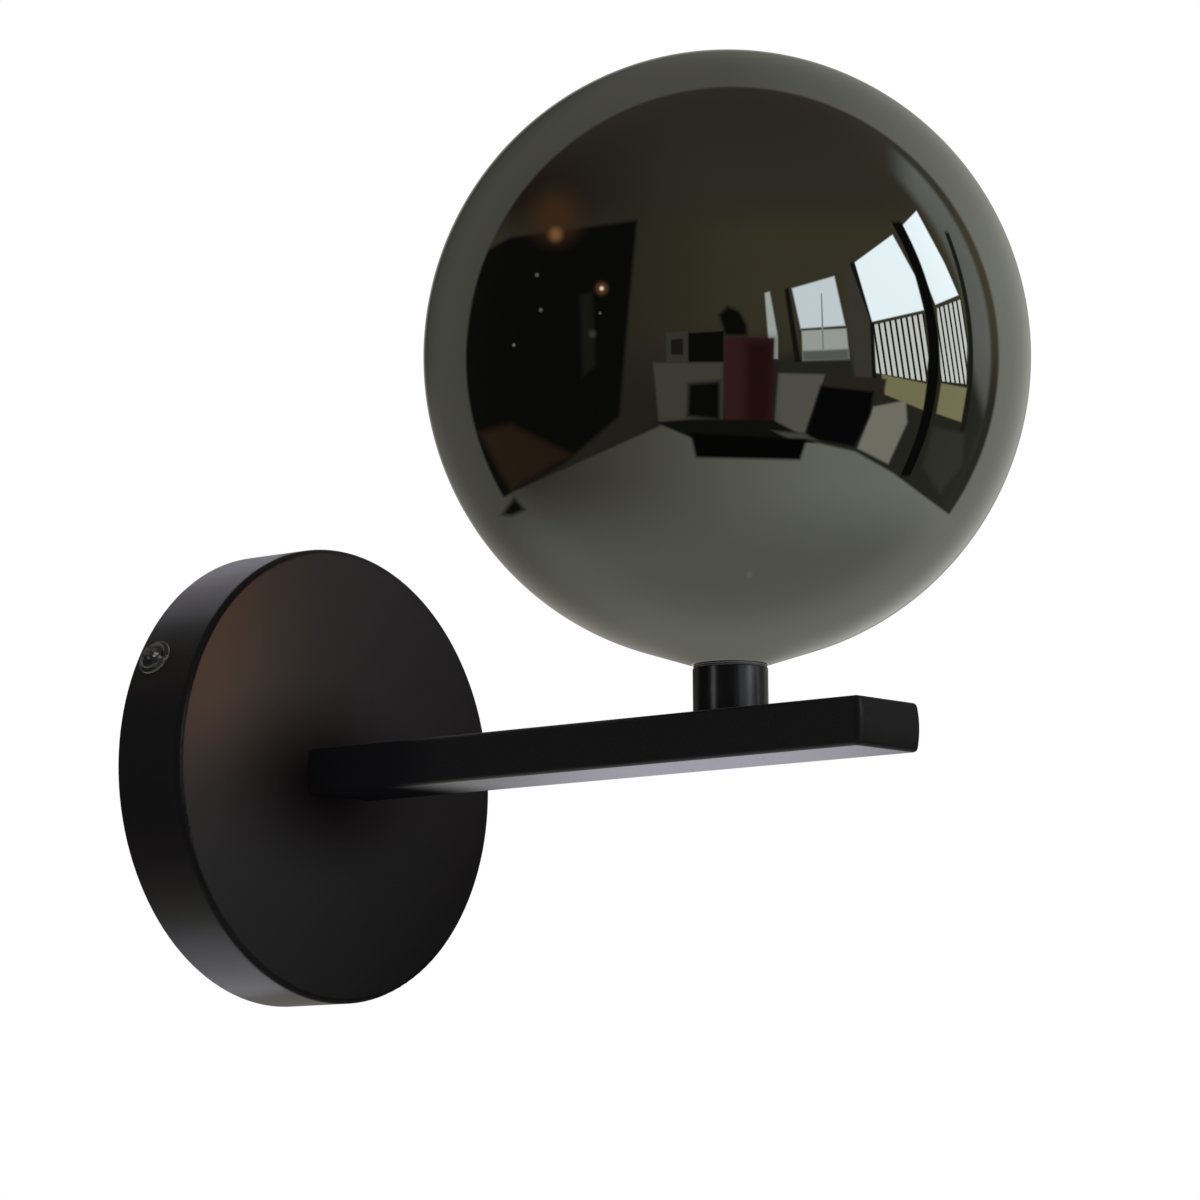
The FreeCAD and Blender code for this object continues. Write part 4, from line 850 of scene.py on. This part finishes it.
@dataclass
class SideScrew:
    """A washer-head screw with a cross recess, along its own z axis with the head's seat at 0.

    Attributes:
        radius: outside of the thread, in millimetres.
        length: under the head.
        washer: radius of the washer face.
        gauge: its thickness.
        dome: radius of the dome.
        rise: height of the dome above the washer face.
        arm: half the width of an arm of the cross.
        reach: length of that arm from the middle.
        depth: depth of the cross at its middle.
        pitch: rise of the thread per turn.
        root: depth of the thread.
        under_round: rounding of the washer face's lower edge.
        over_round: rounding of its upper edge.
        turn: how far the cross is turned, in degrees.
    """

    radius: float = 2.0
    length: float = 10.0
    washer: float = 4.75
    gauge: float = 0.9
    dome: float = 3.7
    rise: float = 2.1
    arm: float = 0.50
    reach: float = 2.15
    depth: float = 1.7
    pitch: float = 0.7
    root: float = 0.35
    under_round: float = 0.2
    over_round: float = 0.3
    turn: float = 0.0

    def _profile(self) -> np.ndarray:
        """From the shank's end up the thread, round the washer face and over the dome to its middle."""
        end, under, over = -self.length, self.under_round, self.over_round
        angles = np.radians(np.linspace(2, 88, 22))
        dome = np.stack([self.dome * np.cos(angles), self.gauge + self.rise * np.sin(angles) ** 0.9], -1)
        flat = line((dome[-2, 0], dome[-1, 1]), (0.0, dome[-1, 1]), 30)[1:]
        return np.concatenate([
            [(0.0, end)], line((0.8, end), (self.radius - 0.3, end)),
            line((self.radius, end + 0.4), (self.radius, -0.2), 90),
            line((self.radius, 0.0), (self.washer - 0.15, 0.0)),
            arc((self.washer - under, under), under, -80, 0, 4),
            arc((self.washer - over, self.gauge - over), over, 0, 80, 5),
            dome[:-1], flat,
        ])

    def _slot(self, side: np.ndarray, along: np.ndarray) -> np.ndarray:
        """Depth of one arm of the cross, d (1 - 0.6 |along| / l) where |side| < w and |along| < l.

        Args:
            side: distance from the arm's middle line.
            along: distance along it.

        Returns:
            The depth, with edges softened over a tenth of a millimetre.
        """
        edge = np.clip((self.arm - np.abs(side)) / 0.1 + 0.5, 0, 1)
        end = np.clip((self.reach - np.abs(along)) / 0.12 + 0.5, 0, 1)
        return edge * end * self.depth * (1 - 0.6 * np.abs(along) / self.reach)

    def surface(self) -> Surface:
        """The whole screw as one turned surface, its thread cut inwards and its cross downwards.

        Returns:
            The surface.
        """
        thread = Thread(self.pitch, self.root, -self.length + 0.3, -0.6)
        rows = thread.on(revolve(self._profile(), 192), self.radius)
        x, y, z = (rows.points[..., axis] for axis in range(3))
        turn = math.radians(self.turn)
        u, v = x * math.cos(turn) + y * math.sin(turn), y * math.cos(turn) - x * math.sin(turn)
        in_dome = z > self.gauge + 0.5
        cut = np.where(in_dome, np.maximum(self._slot(u, v), self._slot(v, u)), 0.0)
        rows.points = np.stack([x, y, z - cut], -1)
        return rows


@dataclass
class SideScrews:
    """The two screws through the rose's side, on the bracket's own line.

    Attributes:
        seat: distance of their seats from the rose's middle, in millimetres.
        height: their axis, from the wall.
        bar: direction of the bracket's bar, in degrees.
    """

    seat: float = 60.15
    height: float = 6.6
    bar: float = 152.7

    def build(self) -> None:
        """Builds both screws as one piece."""
        upright = Matrix.Rotation(math.radians(90), 4, "X")
        frame_turn = upright @ Matrix.Rotation(math.radians(self.bar), 4, "Z")
        piece = Piece("side_screws_crossed", "wall_unit", GLOSS_BLACK, "black_screw")
        for side, turn in ((1, 20.0), (-1, 65.0)):
            spot = Matrix.Translation((side * self.seat * MM, 0, self.height * MM))
            lean = Matrix.Rotation(math.radians(90 * side), 4, "Y")
            piece.add(SideScrew(turn=turn).surface(), frame_turn @ spot @ lean)
        piece.build("rose_side_screws", smooth_angle=40.0)


# ------------------------------------------------------------------ camera, light and floor


@dataclass(frozen=True)
class Viewpoint:
    """The photograph's viewpoint, as fitted to the light's own edges.

    Attributes:
        azimuth: degrees round the light, 0 being straight in front of the wall.
        elevation: degrees above the horizon.
        roll: degrees of tilt.
        distance: from the camera to the row's origin along the view, in millimetres.
        across: the origin's place across the view, in millimetres.
        up: the origin's place up the view, in millimetres.
        lens: focal length for a sensor 36 mm wide.
    """

    azimuth: float = -50.42
    elevation: float = -7.96
    roll: float = -0.45
    distance: float = 1192.18
    across: float = -85.26
    up: float = -48.34
    lens: float = 134.08

    def axes(self) -> tuple[Vector, Vector, Vector]:
        """The camera's right, up and backward directions in the row frame."""
        azimuth, elevation, roll = (math.radians(x) for x in (self.azimuth, self.elevation, self.roll))
        back = Vector((
            math.sin(azimuth) * math.cos(elevation),
            -math.cos(azimuth) * math.cos(elevation),
            math.sin(elevation),
        ))
        right = (-back).cross(Vector((0, 0, 1))).normalized()
        up = right.cross(-back)
        turned_right = right * math.cos(roll) + up * math.sin(roll)
        turned_up = up * math.cos(roll) - right * math.sin(roll)
        return turned_right, turned_up, back

    def spot(self) -> Vector:
        """Where the camera stands, in millimetres."""
        right, up, back = self.axes()
        return back * self.distance - right * self.across - up * self.up

    def axes_from(self, point: Sequence[float]) -> tuple[Vector, Vector, Vector]:
        """The same three directions as seen from a point: the last one points from it at the camera."""
        right, up, _ = self.axes()
        back = (self.spot() - Vector(point)).normalized()
        level = (right - back * right.dot(back)).normalized()
        return level, (up - back * up.dot(back)).normalized(), back

    def build(self) -> None:
        """Makes the camera and gives it to the scene."""
        right, up, back = self.axes()
        data = bpy.data.cameras.new("camera")
        data.sensor_width = 36.0
        data.lens = self.lens
        data.clip_start, data.clip_end = 0.01, 100.0
        camera = bpy.data.objects.new("camera", data)
        spot = self.spot() * MM
        turn = Matrix((right, up, back)).transposed().to_4x4()
        camera.matrix_world = Matrix.Translation(spot) @ turn
        bpy.context.scene.collection.objects.link(camera)
        bpy.context.scene.camera = camera


@dataclass(frozen=True)
class Panel:
    """A plain panel in the studio, by its corners as they lie on a mirror ball.

    Attributes:
        corners: (across, up) of each corner, going round clockwise as seen.
        tone: brightness and colour.
        blur: half the width of its soft edges.
        bars: distance between thin upright dark bars before it, or 0 for none.
    """

    corners: tuple[tuple[float, float], ...]
    tone: Tone
    blur: float = 0.004
    bars: float = 0.0

    def mask(self, spot: Value) -> Value:
        """1 inside the panel and 0 outside: the least distance to its sides, softened.

        Args:
            spot: across, up and 1 as one vector.

        Returns:
            The mask.
        """
        inside: Optional[Value] = None
        for (x1, y1), (x2, y2) in zip(self.corners, self.corners[1:] + self.corners[:1]):
            length = math.hypot(x2 - x1, y2 - y1)
            slope_x, slope_y = (y2 - y1) / length, -(x2 - x1) / length
            side = spot.dot((slope_x, slope_y, -(x1 * slope_x + y1 * slope_y)))
            inside = side if inside is None else inside.least(side)
        return inside.step(-self.blur, self.blur)

    def over(self, graph: Graph, spot: Value, colour: Value) -> Value:
        """The colour with the panel laid over it."""
        tone: Content = (*self.tone, 1.0)
        if self.bars:
            wave = (spot.dot((1.0, 0.16, 0.0)) * (TURN / self.bars)).sine()
            tone = graph.mix(wave.step(0.15, 0.65), self.tone, (0.05, 0.05, 0.05))
        return graph.mix(self.mask(spot), colour, tone)


@dataclass(frozen=True)
class Post:
    """A thin bowed upright: across = middle - bow * up squared, give or take half its width.

    Attributes:
        middle: where it stands at the ball's middle height.
        bow: how strongly it bows.
        half: half its width.
        low: its foot.
        high: its top.
        tone: brightness and colour.
    """

    middle: float
    bow: float
    half: float
    low: float
    high: float
    tone: Tone = (0.03, 0.03, 0.028)

    def over(self, graph: Graph, across: Value, up: Value, colour: Value) -> Value:
        """The colour with the upright before it."""
        away = (across - self.middle + up * up * self.bow).size()
        mask = away.step(self.half + 0.003, self.half - 0.003)
        mask = mask * up.step(self.low - 0.01, self.low + 0.01) * up.step(self.high + 0.01, self.high - 0.01)
        return graph.mix(mask, colour, self.tone)


PALE_PANEL = Panel((
    (-0.78, -0.46), (-0.69, -0.420), (-0.508, -0.312), (-0.30, -0.222), (-0.19, -0.200), (0.05, -0.225),
    (0.291, -0.262), (0.413, -0.290), (0.534, -0.358), (0.717, -0.492), (0.95, -0.69), (0.9, -1.3),
    (-0.9, -1.3),
), (1.0, 1.0, 1.0), 0.006)

BRIGHT_LOW, BRIGHT, BRIGHT_HIGH = (5.4, 5.5, 5.6), (5.5, 6.1, 6.9), (8.3, 9.1, 10.3)
OLIVE, DARK = (1.75, 1.6, 0.88), (0.03, 0.029, 0.026)

PANELS: tuple[Panel, ...] = (
    Panel(((-0.855, 0.0), (-0.803, 0.33), (-0.699, 0.385), (-0.287, 0.435), (-0.343, -0.178),
           (-0.525, -0.33), (-0.74, -0.45), (-0.84, -0.24)), DARK, 0.010),
    Panel(((-0.80, -0.235), (-0.70, -0.205), (-0.50, -0.30), (-0.70, -0.42)), (0.17, 0.10, 0.065), 0.02),
    Panel(((-0.47, 0.20), (-0.43, 0.21), (-0.42, -0.02), (-0.46, -0.05)), (0.09, 0.085, 0.075), 0.012),
    Panel(((0.13, 0.0), (0.30, 0.03), (0.78, 0.0), (0.84, -0.20), (0.72, -0.52), (0.13, -0.28)),
          (0.165, 0.17, 0.135), 0.02),
    Panel(((0.36, 0.26), (0.41, 0.31), (0.47, 0.12), (0.47, -0.06), (0.39, -0.06), (0.385, 0.10)),
          (0.37, 0.34, 0.28), 0.010),
    Panel(((0.121, 0.207), (0.137, 0.211), (0.163, 0.070), (0.163, 0.002), (0.138, 0.002)), (3.4, 3.7, 3.8)),
    Panel(((0.184, 0.218), (0.197, 0.225), (0.236, -0.009), (0.218, -0.010)), (0.06, 0.06, 0.05)),
    Panel(((0.208, 0.221), (0.343, 0.259), (0.378, 0.105), (0.236, 0.096)), BRIGHT),
    Panel(((0.239, 0.089), (0.382, 0.096), (0.392, 0.002), (0.243, -0.003)), (3.1, 3.3, 3.3)),
    Panel(((0.241, 0.026), (0.389, 0.032), (0.392, -0.002), (0.243, -0.005)), (0.9, 0.95, 0.9), 0.006),
    Panel(((0.300, 0.205), (0.304, 0.205), (0.311, 0.03), (0.305, 0.03)), (1.9, 2.1, 2.3), 0.002),
    Panel(((0.393, 0.297), (0.409, 0.308), (0.469, 0.117), (0.460, 0.117)), (0.06, 0.06, 0.05)),
    Panel(((0.457, 0.125), (0.470, 0.122), (0.482, -0.11), (0.468, -0.11)), (0.06, 0.06, 0.05)),
    Panel(((0.409, 0.302), (0.531, 0.389), (0.604, 0.259), (0.632, 0.153), (0.465, 0.117)),
          BRIGHT_HIGH, 0.003),
    Panel(((0.470, 0.107), (0.632, 0.142), (0.647, 0.002), (0.639, -0.070), (0.478, -0.043)),
          BRIGHT_LOW, 0.003, 0.0185),
    Panel(((0.496, -0.048), (0.642, -0.078), (0.632, -0.161), (0.505, -0.110)), OLIVE),
    Panel(((0.565, 0.42), (0.61, 0.465), (0.70, 0.30), (0.745, 0.20), (0.67, 0.17)), BRIGHT_HIGH, 0.003),
    Panel(((0.675, 0.158), (0.752, 0.186), (0.774, 0.05), (0.772, -0.08), (0.69, -0.07)),
          BRIGHT_LOW, 0.003, 0.0150),
    Panel(((0.690, -0.077), (0.775, -0.092), (0.757, -0.200), (0.675, -0.172)), OLIVE),
    Panel(((0.665, -0.215), (0.770, -0.235), (0.760, -0.341), (0.691, -0.427), (0.635, -0.341)),
          (0.27, 0.275, 0.22), 0.012),
    Panel(((0.165, -0.043), (0.315, -0.047), (0.25, -0.23), (0.15, -0.23)), (0.80, 0.77, 0.68), 0.006),
    Panel(((0.315, -0.048), (0.512, -0.062), (0.500, -0.135), (0.465, -0.149), (0.317, -0.10)),
          (0.20, 0.17, 0.13), 0.006),
    Panel(((0.47, -0.149), (0.575, -0.130), (0.58, -0.20), (0.52, -0.33), (0.42, -0.28)),
          (1.65, 1.6, 1.4), 0.006),
    Panel(((0.300, -0.083), (0.470, -0.101), (0.461, -0.175), (0.410, -0.275), (0.25, -0.245)),
          (0.02, 0.02, 0.022), 0.008),
    Panel(((-0.195, 0.084), (-0.124, 0.087), (-0.124, -0.007), (-0.192, -0.007)), (0.33, 0.31, 0.27)),
    Panel(((-0.178, 0.062), (-0.139, 0.065), (-0.139, 0.015), (-0.178, 0.015)), (0.10, 0.09, 0.08)),
    Panel(((-0.235, -0.010), (-0.013, -0.010), (-0.013, -0.200), (-0.216, -0.207)),
          (0.46, 0.43, 0.37), 0.006),
    Panel(((-0.122, 0.082), (-0.009, 0.089), (-0.009, -0.007), (-0.122, -0.007)), DARK),
    Panel(((-0.122, -0.075), (-0.021, -0.067), (-0.021, -0.190), (-0.126, -0.178)), DARK, 0.012),
    Panel(((-0.025, 0.139), (0.003, 0.166), (0.040, 0.150), (0.065, 0.105), (0.065, 0.074), (-0.004, 0.074)),
          DARK, 0.010),
    Panel(((-0.009, 0.070), (0.152, 0.067), (0.144, -0.207), (-0.004, -0.207)), (0.30, 0.11, 0.115), 0.005),
    Panel(((0.060, 0.060), (0.152, 0.060), (0.144, -0.207), (0.060, -0.207)), (0.15, 0.045, 0.05), 0.035),
)

LOW_PANELS: tuple[Panel, ...] = (
    Panel(((-0.230, -0.196), (-0.108, -0.186), (0.150, -0.190), (0.262, -0.247), (0.283, -0.262),
           (-0.108, -0.247)), (0.05, 0.05, 0.045), 0.006),
    Panel(((0.155, -0.225), (0.250, -0.232), (0.283, -0.251), (0.200, -0.250)), (0.55, 0.56, 0.50), 0.008),
    Panel(((-0.115, -0.230), (0.257, -0.250), (0.236, -0.315), (-0.098, -0.307)),
          (0.016, 0.016, 0.016), 0.008),
    Panel(((-0.735, -0.497), (-0.690, -0.441), (-0.655, -0.478), (-0.700, -0.500)),
          (0.03, 0.03, 0.028), 0.012),
)

POSTS: tuple[Post, ...] = (
    Post(0.665, 0.66, 0.016, -0.37, 0.43),
    Post(0.787, 0.50, 0.007, -0.23, 0.40, (0.09, 0.09, 0.08)),
)


@dataclass(frozen=True)
class Lamplet:
    """A small round light, by its place on the mirror ball, its reach and its brightness."""

    across: float
    up: float
    reach: float
    tone: Tone

    def over(self, graph: Graph, across: Value, up: Value, colour: Value) -> Value:
        """The colour with the light on it, full in its middle and gone at its reach."""
        right, above = across - self.across, up - self.up
        return graph.mix((right * right + above * above).root().step(self.reach, 0.0), colour, self.tone)


LAMPLETS: tuple[Lamplet, ...] = (
    Lamplet(-0.55, 0.450, 0.13, (0.42, 0.20, 0.10)), Lamplet(-0.55, 0.392, 0.036, (1.9, 0.85, 0.36)),
    Lamplet(-0.400, 0.222, 0.030, (1.3, 0.5, 0.25)), Lamplet(-0.400, 0.222, 0.011, (8.0, 7.0, 5.6)),
    Lamplet(-0.405, 0.145, 0.007, (1.2, 1.1, 0.9)), Lamplet(-0.610, 0.265, 0.010, (1.1, 1.0, 0.9)),
    Lamplet(-0.597, 0.155, 0.010, (1.1, 1.0, 0.9)), Lamplet(-0.685, 0.045, 0.008, (1.9, 1.6, 1.3)),
    Lamplet(-0.430, 0.080, 0.020, (0.40, 0.38, 0.34)), Lamplet(0.075, -0.684, 0.016, (1.1, 1.1, 0.98)),
)


@dataclass(frozen=True)
class Lamp:
    """A soft rectangular lamp; only one that lights chosen pieces shows in their gloss.

    Attributes:
        name: its name.
        spot: where it stands, in millimetres.
        aim: the point that it faces.
        size: its width and height.
        level: its brightness as a surface.
        tone: its colour.
        lights: the pieces that it lights, or none for all of them; such a lamp casts no shadow.
    """

    name: str
    spot: tuple[float, float, float]
    aim: tuple[float, float, float]
    size: tuple[float, float]
    level: float
    tone: Tone = (1.0, 1.0, 1.0)
    lights: tuple[str, ...] = ()

    def build(self) -> None:
        """Makes the lamp; its power is its level x its area x pi."""
        data = bpy.data.lights.new(self.name, "AREA")
        data.shape = "RECTANGLE"
        data.size, data.size_y = (side * MM for side in self.size)
        data.energy = self.level * data.size * data.size_y * math.pi
        data.color = self.tone
        made = bpy.data.objects.new(self.name, data)
        made.location = Vector(self.spot) * MM
        direction = Vector(self.aim) - Vector(self.spot)
        made.rotation_euler = direction.to_track_quat("-Z", "Y").to_euler()
        made.visible_glossy = bool(self.lights)
        bpy.context.scene.collection.objects.link(made)
        if self.lights:
            data.use_shadow = False
            data.cycles.use_multiple_importance_sampling = False
            lit = bpy.data.collections.new(f"lit_by_{self.name}")
            for name in self.lights:
                lit.objects.link(bpy.data.objects[name])
            made.light_linking.receiver_collection = lit


LAMPS: tuple[Lamp, ...] = (
    Lamp("soft_lamp", (-500, -1100, 1600), (0, -120, 50), (1600, 1200), 1.0),
    Lamp("rose_glow", (61, -133, 54), (-52, -22, 26), (16, 72), 19.0, (1.0, 0.53, 0.29), ("rose_cup",)),
    Lamp("rose_low", (19, 127, -188), (-30, -11, -52), (150, 150), 1.1, (0.82, 0.79, 1.0), ("rose_cup",)),
    Lamp("rose_high", (28, 127, 177), (-36, -11, 48), (150, 150), 0.9, (0.86, 0.82, 1.0), ("rose_cup",)),
    Lamp("stem_left", (-290, -75, 53), (0, -STEM_AXIS, 12), (60, 120), 11.0, (1.0, 0.97, 1.0),
         ("stem_cup_turned",)),
    Lamp("stem_right", (17, -451, 53), (0, -STEM_AXIS, 12), (120, 120), 6.0, (1.0, 0.97, 1.0),
         ("stem_cup_turned",)),
    Lamp("screw_glint", (-300, -60, 230), (-54, -7, 28), (220, 120), 5.0, (1.0, 1.0, 1.0),
         ("side_screws_crossed",)),
)


@dataclass(frozen=True)
class Studio:
    """A plain studio: white all round for the eye, and dim with bright panels for the gloss.

    The dim part lies on the camera's side. It is drawn by the place at which a mirror ball shows each
    direction d: (d + b) / |d + b|, where b points back at the camera. Beyond its round edge
    lie pale surroundings, whose brightness is divided by the mirror's own rise towards its rim.

    Attributes:
        viewpoint: the camera's place.
        ball: middle of the mirror ball, in millimetres.
        middle: where the dim part's round edge is centred, across the ball.
        edge: its radius there.
        soft_white: brightness of the plain light on everything that isn't glossy.
        glass_share: how much of the light the glass sends back where it faces the camera.
        near: the surroundings' tones next to the dim part, round the ball from the left by below.
        far: the same at the ball's rim.
        far_from: radius on the ball at which the near tones begin to give way.
        far_over: over how much of the radius they do.
        rim: tone of the ball's very edge.
        under: tone of the small patch that the arm's underside shows.
        floor_half: half the floor's side, in metres.
        floor_level: the floor's height, in metres.
    """

    viewpoint: Viewpoint
    ball: tuple[float, float, float] = (0.0, -STEM_AXIS, 94.9)
    middle: float = 0.018
    edge: float = 0.857
    soft_white: float = 0.9
    glass_share: float = 0.095
    near: tuple[tuple[float, Tone], ...] = (
        (0.10, (0.050, 0.050, 0.042)), (0.20, (0.100, 0.100, 0.085)), (0.55, (0.140, 0.145, 0.130)),
        (0.75, (0.060, 0.060, 0.050)), (0.88, (0.050, 0.050, 0.042)),
    )
    far: tuple[tuple[float, Tone], ...] = (
        (0.0, (0.03, 0.03, 0.025)), (0.17, (0.25, 0.23, 0.21)), (0.25, (0.13, 0.13, 0.12)),
        (0.33, (0.39, 0.39, 0.37)), (0.62, (0.20, 0.20, 0.18)), (0.84, (0.03, 0.03, 0.025)),
    )
    far_from: float = 0.88
    far_over: float = 0.115
    rim: Tone = (0.22, 0.22, 0.21)
    under: Tone = (0.57, 0.56, 0.65)
    floor_half: float = 6.0
    floor_level: float = -0.42

    def build(self) -> None:
        """Makes the world, the lamps and the floor, with plain tones."""
        bpy.context.scene.view_settings.view_transform = "Standard"
        self._world()
        self._lamps()
        self._floor()

    def _ball(self, graph: Graph) -> tuple[Value, Value]:
        """Across and up on the mirror ball, for the ray's direction."""
        right, up, back = self.viewpoint.axes_from(self.ball)
        direction = graph.add("ShaderNodeTexCoord", {}, {}).out("Generated")
        halfway = direction.plus(back)
        size = halfway.length().most(0.0001)
        return halfway.dot(right) / size, halfway.dot(up) / size

    def _surround(self, graph: Graph, across: Value, up: Value) -> Value:
        """The surroundings beyond the dim part, bright on the right, dim on the far left.

        The wanted tone is divided by the mirror's share at radius r, which is s + (1 - s) (1 - c)^5
        with c = sqrt(1 - r^2) and s the share at its middle.
        """
        reach = (across * across + up * up).root()
        turn = up.angle_with(across) / TURN + 0.5
        near = graph.add("ShaderNodeValToRGB", {"stops": self.near}, {0: turn}).out()
        far = graph.add("ShaderNodeValToRGB", {"stops": self.far}, {0: turn}).out()
        tone = graph.mix(((reach - self.far_from) / self.far_over).most(0.0) ** 4, near, far)
        tone = graph.mix(reach.step(0.988, 0.9985), tone, self.rim)
        below = up.step(-0.962, -0.978) * across.size().step(0.17, 0.10)
        tone = graph.mix(below, tone, self.under)
        height = (1 - reach * reach).most(0.0).root()
        share = (1 - height) ** 5 * (1 - self.glass_share) + self.glass_share
        values = {0: tone, "Scale": 1 / share}
        return graph.add("ShaderNodeVectorMath", {"operation": "SCALE"}, values).out(0)

    def _dim_part(self, graph: Graph, across: Value, up: Value) -> Value:
        """The dim part, brown-black above and olive-black below, with a pale strip on the right."""
        upper = graph.mix(across.step(-0.80, 0.0), (0.085, 0.058, 0.038), (0.275, 0.24, 0.18))
        upper = graph.mix(up.step(0.55, 0.90), upper, (0.205, 0.178, 0.14))
        lower = graph.mix(across.step(-0.35, 0.15), (0.235, 0.20, 0.145), (0.36, 0.31, 0.20))
        lower = graph.mix(up.step(0.15, -0.2), lower, (0.15, 0.14, 0.115))
        colour = graph.mix(up.step(0.36, 0.52), lower, upper)
        reach = (across * across + up * up).root()
        strip = reach.step(0.770, 0.805) * reach.step(0.862, 0.845)
        strip = strip * across.step(0.50, 0.62) * up.step(-0.45, 0.10)
        return graph.mix(strip * 0.9, colour, (0.95, 1.0, 0.95))

    def _pale_part(self, graph: Graph, across: Value, up: Value) -> Value:
        """The pale panel below, dimmer on the left."""
        pale = graph.mix(across.step(-0.75, 0.65), (0.27, 0.235, 0.20), (1.38, 1.42, 1.25))
        return graph.mix(up.step(-0.36, -0.66), pale, (0.82, 0.84, 0.72))

    def _world(self) -> None:
        """White for the camera and for plain light, the drawn studio for glossy rays."""
        world = bpy.data.worlds.new("studio")
        world.use_nodes = True
        bpy.context.scene.world = world
        graph = Graph(world.node_tree)
        across, up = self._ball(graph)
        spot = graph.add("ShaderNodeCombineXYZ", {}, {0: across, 1: up, 2: 1.0}).out()
        colour = self._dim_part(graph, across, up)
        for panel in PANELS:
            colour = panel.over(graph, spot, colour)
        for post in POSTS:
            colour = post.over(graph, across, up, colour)
        surround = self._surround(graph, across, up)
        reach = ((across - self.middle) * (across - self.middle) + up * up).root()
        colour = graph.mix(reach.step(self.edge + 0.012, self.edge), surround, colour)
        pale = graph.mix(reach.step(0.76, 0.93), self._pale_part(graph, across, up), surround)
        colour = graph.mix(PALE_PANEL.mask(spot), colour, pale)
        for panel in LOW_PANELS:
            colour = panel.over(graph, spot, colour)
        for lamp in LAMPLETS:
            colour = lamp.over(graph, across, up, colour)
        path = graph.add("ShaderNodeLightPath", {}, {})
        white = (1.0, 1.0, 1.0, 1.0)
        drawn = graph.add("ShaderNodeBackground", {}, {"Color": colour, "Strength": 1.0}).out()
        plain = graph.add("ShaderNodeBackground", {}, {"Color": white, "Strength": self.soft_white}).out()
        shown = graph.add("ShaderNodeBackground", {}, {"Color": white, "Strength": 1.0}).out()
        lit = graph.add("ShaderNodeMixShader", {}, {0: path.out("Is Glossy Ray"), 1: plain, 2: drawn}).out()
        seen = graph.add("ShaderNodeMixShader", {}, {0: path.out("Is Camera Ray"), 1: lit, 2: shown}).out()
        graph.add("ShaderNodeOutputWorld", {}, {"Surface": seen})

    def _lamps(self) -> None:
        """The soft lamps."""
        for lamp in LAMPS:
            lamp.build()

    def _floor(self) -> None:
        """A plain pale floor below the light, left out of the gloss."""
        mesh = bpy.data.meshes.new("floor")
        half, height = self.floor_half, self.floor_level
        corners = [(-half, -half, height), (half, -half, height), (half, half, height), (-half, half, height)]
        mesh.from_pydata(corners, [], [(0, 1, 2, 3)])
        floor = bpy.data.objects.new("floor", mesh)
        bpy.context.scene.collection.objects.link(floor)
        pale = Finish("pale_floor", (0.80, 0.80, 0.80), (0.82, 0.82, 0.82), rough=(0.6, 0.7), patch=2.0,
                      grain=60.0, relief=0.0)
        mesh.materials.append(pale.material())
        floor.visible_glossy = False


# ------------------------------------------------------------------ the whole light


FINISHES: tuple[tuple[Finish, tuple[str, ...]], ...] = (
    (ROSE_PAINT, ("rose_cup",)),
    (ARM_PAINT, ("arm_tube", "arm_end_cap")),
    (ZINC, (
        "mounting_bracket", "terminal_screws", "terminal_block_screw", "earth_screw", "arm_nipple",
        "arm_lock_washer", "arm_nut", "arm_root_plug", "arm_dowels", "stem_nipple", "stem_lock_washer",
        "stem_nut", "stem_weld_nut", "lampholder_circlip", "lamp_pins",
    )),
    (BRASS, ("terminal_inserts", "lampholder_contacts")),
    (TINNED, ("earth_terminal_arm", "earth_terminal_tab")),
    (WHITE_PLASTIC, ("terminal_block", "wire_bush")),
    (CERAMIC, ("lampholder_body",)),
    (LAMP_FOOT, ("lamp_base",)),
    (FROSTED, ("lamp_envelope",)),
    (BOARD, ("lamp_board",)),
    (WIRE_BROWN, ("wire_live",)),
    (WIRE_BLUE, ("wire_neutral",)),
    (WIRE_EARTH, ("wire_earth",)),
)


def main() -> None:
    """Builds the light, piece by piece, and the studio round it."""
    logging.basicConfig(level=logging.INFO, format="%(name)s %(message)s")
    for finish, nodes in FINISHES:
        dress(finish, nodes)
    globe = Globe()
    globe.build()
    Stem().build(globe.edge())
    SideScrews().build()
    for made in bpy.context.scene.objects:  # the globe mirrors the studio alone
        if made.type == "MESH" and made.name != "globe_shell":
            made.visible_glossy = False
    viewpoint = Viewpoint()
    viewpoint.build()
    Studio(viewpoint).build()


if __name__ == "__main__":
    main()
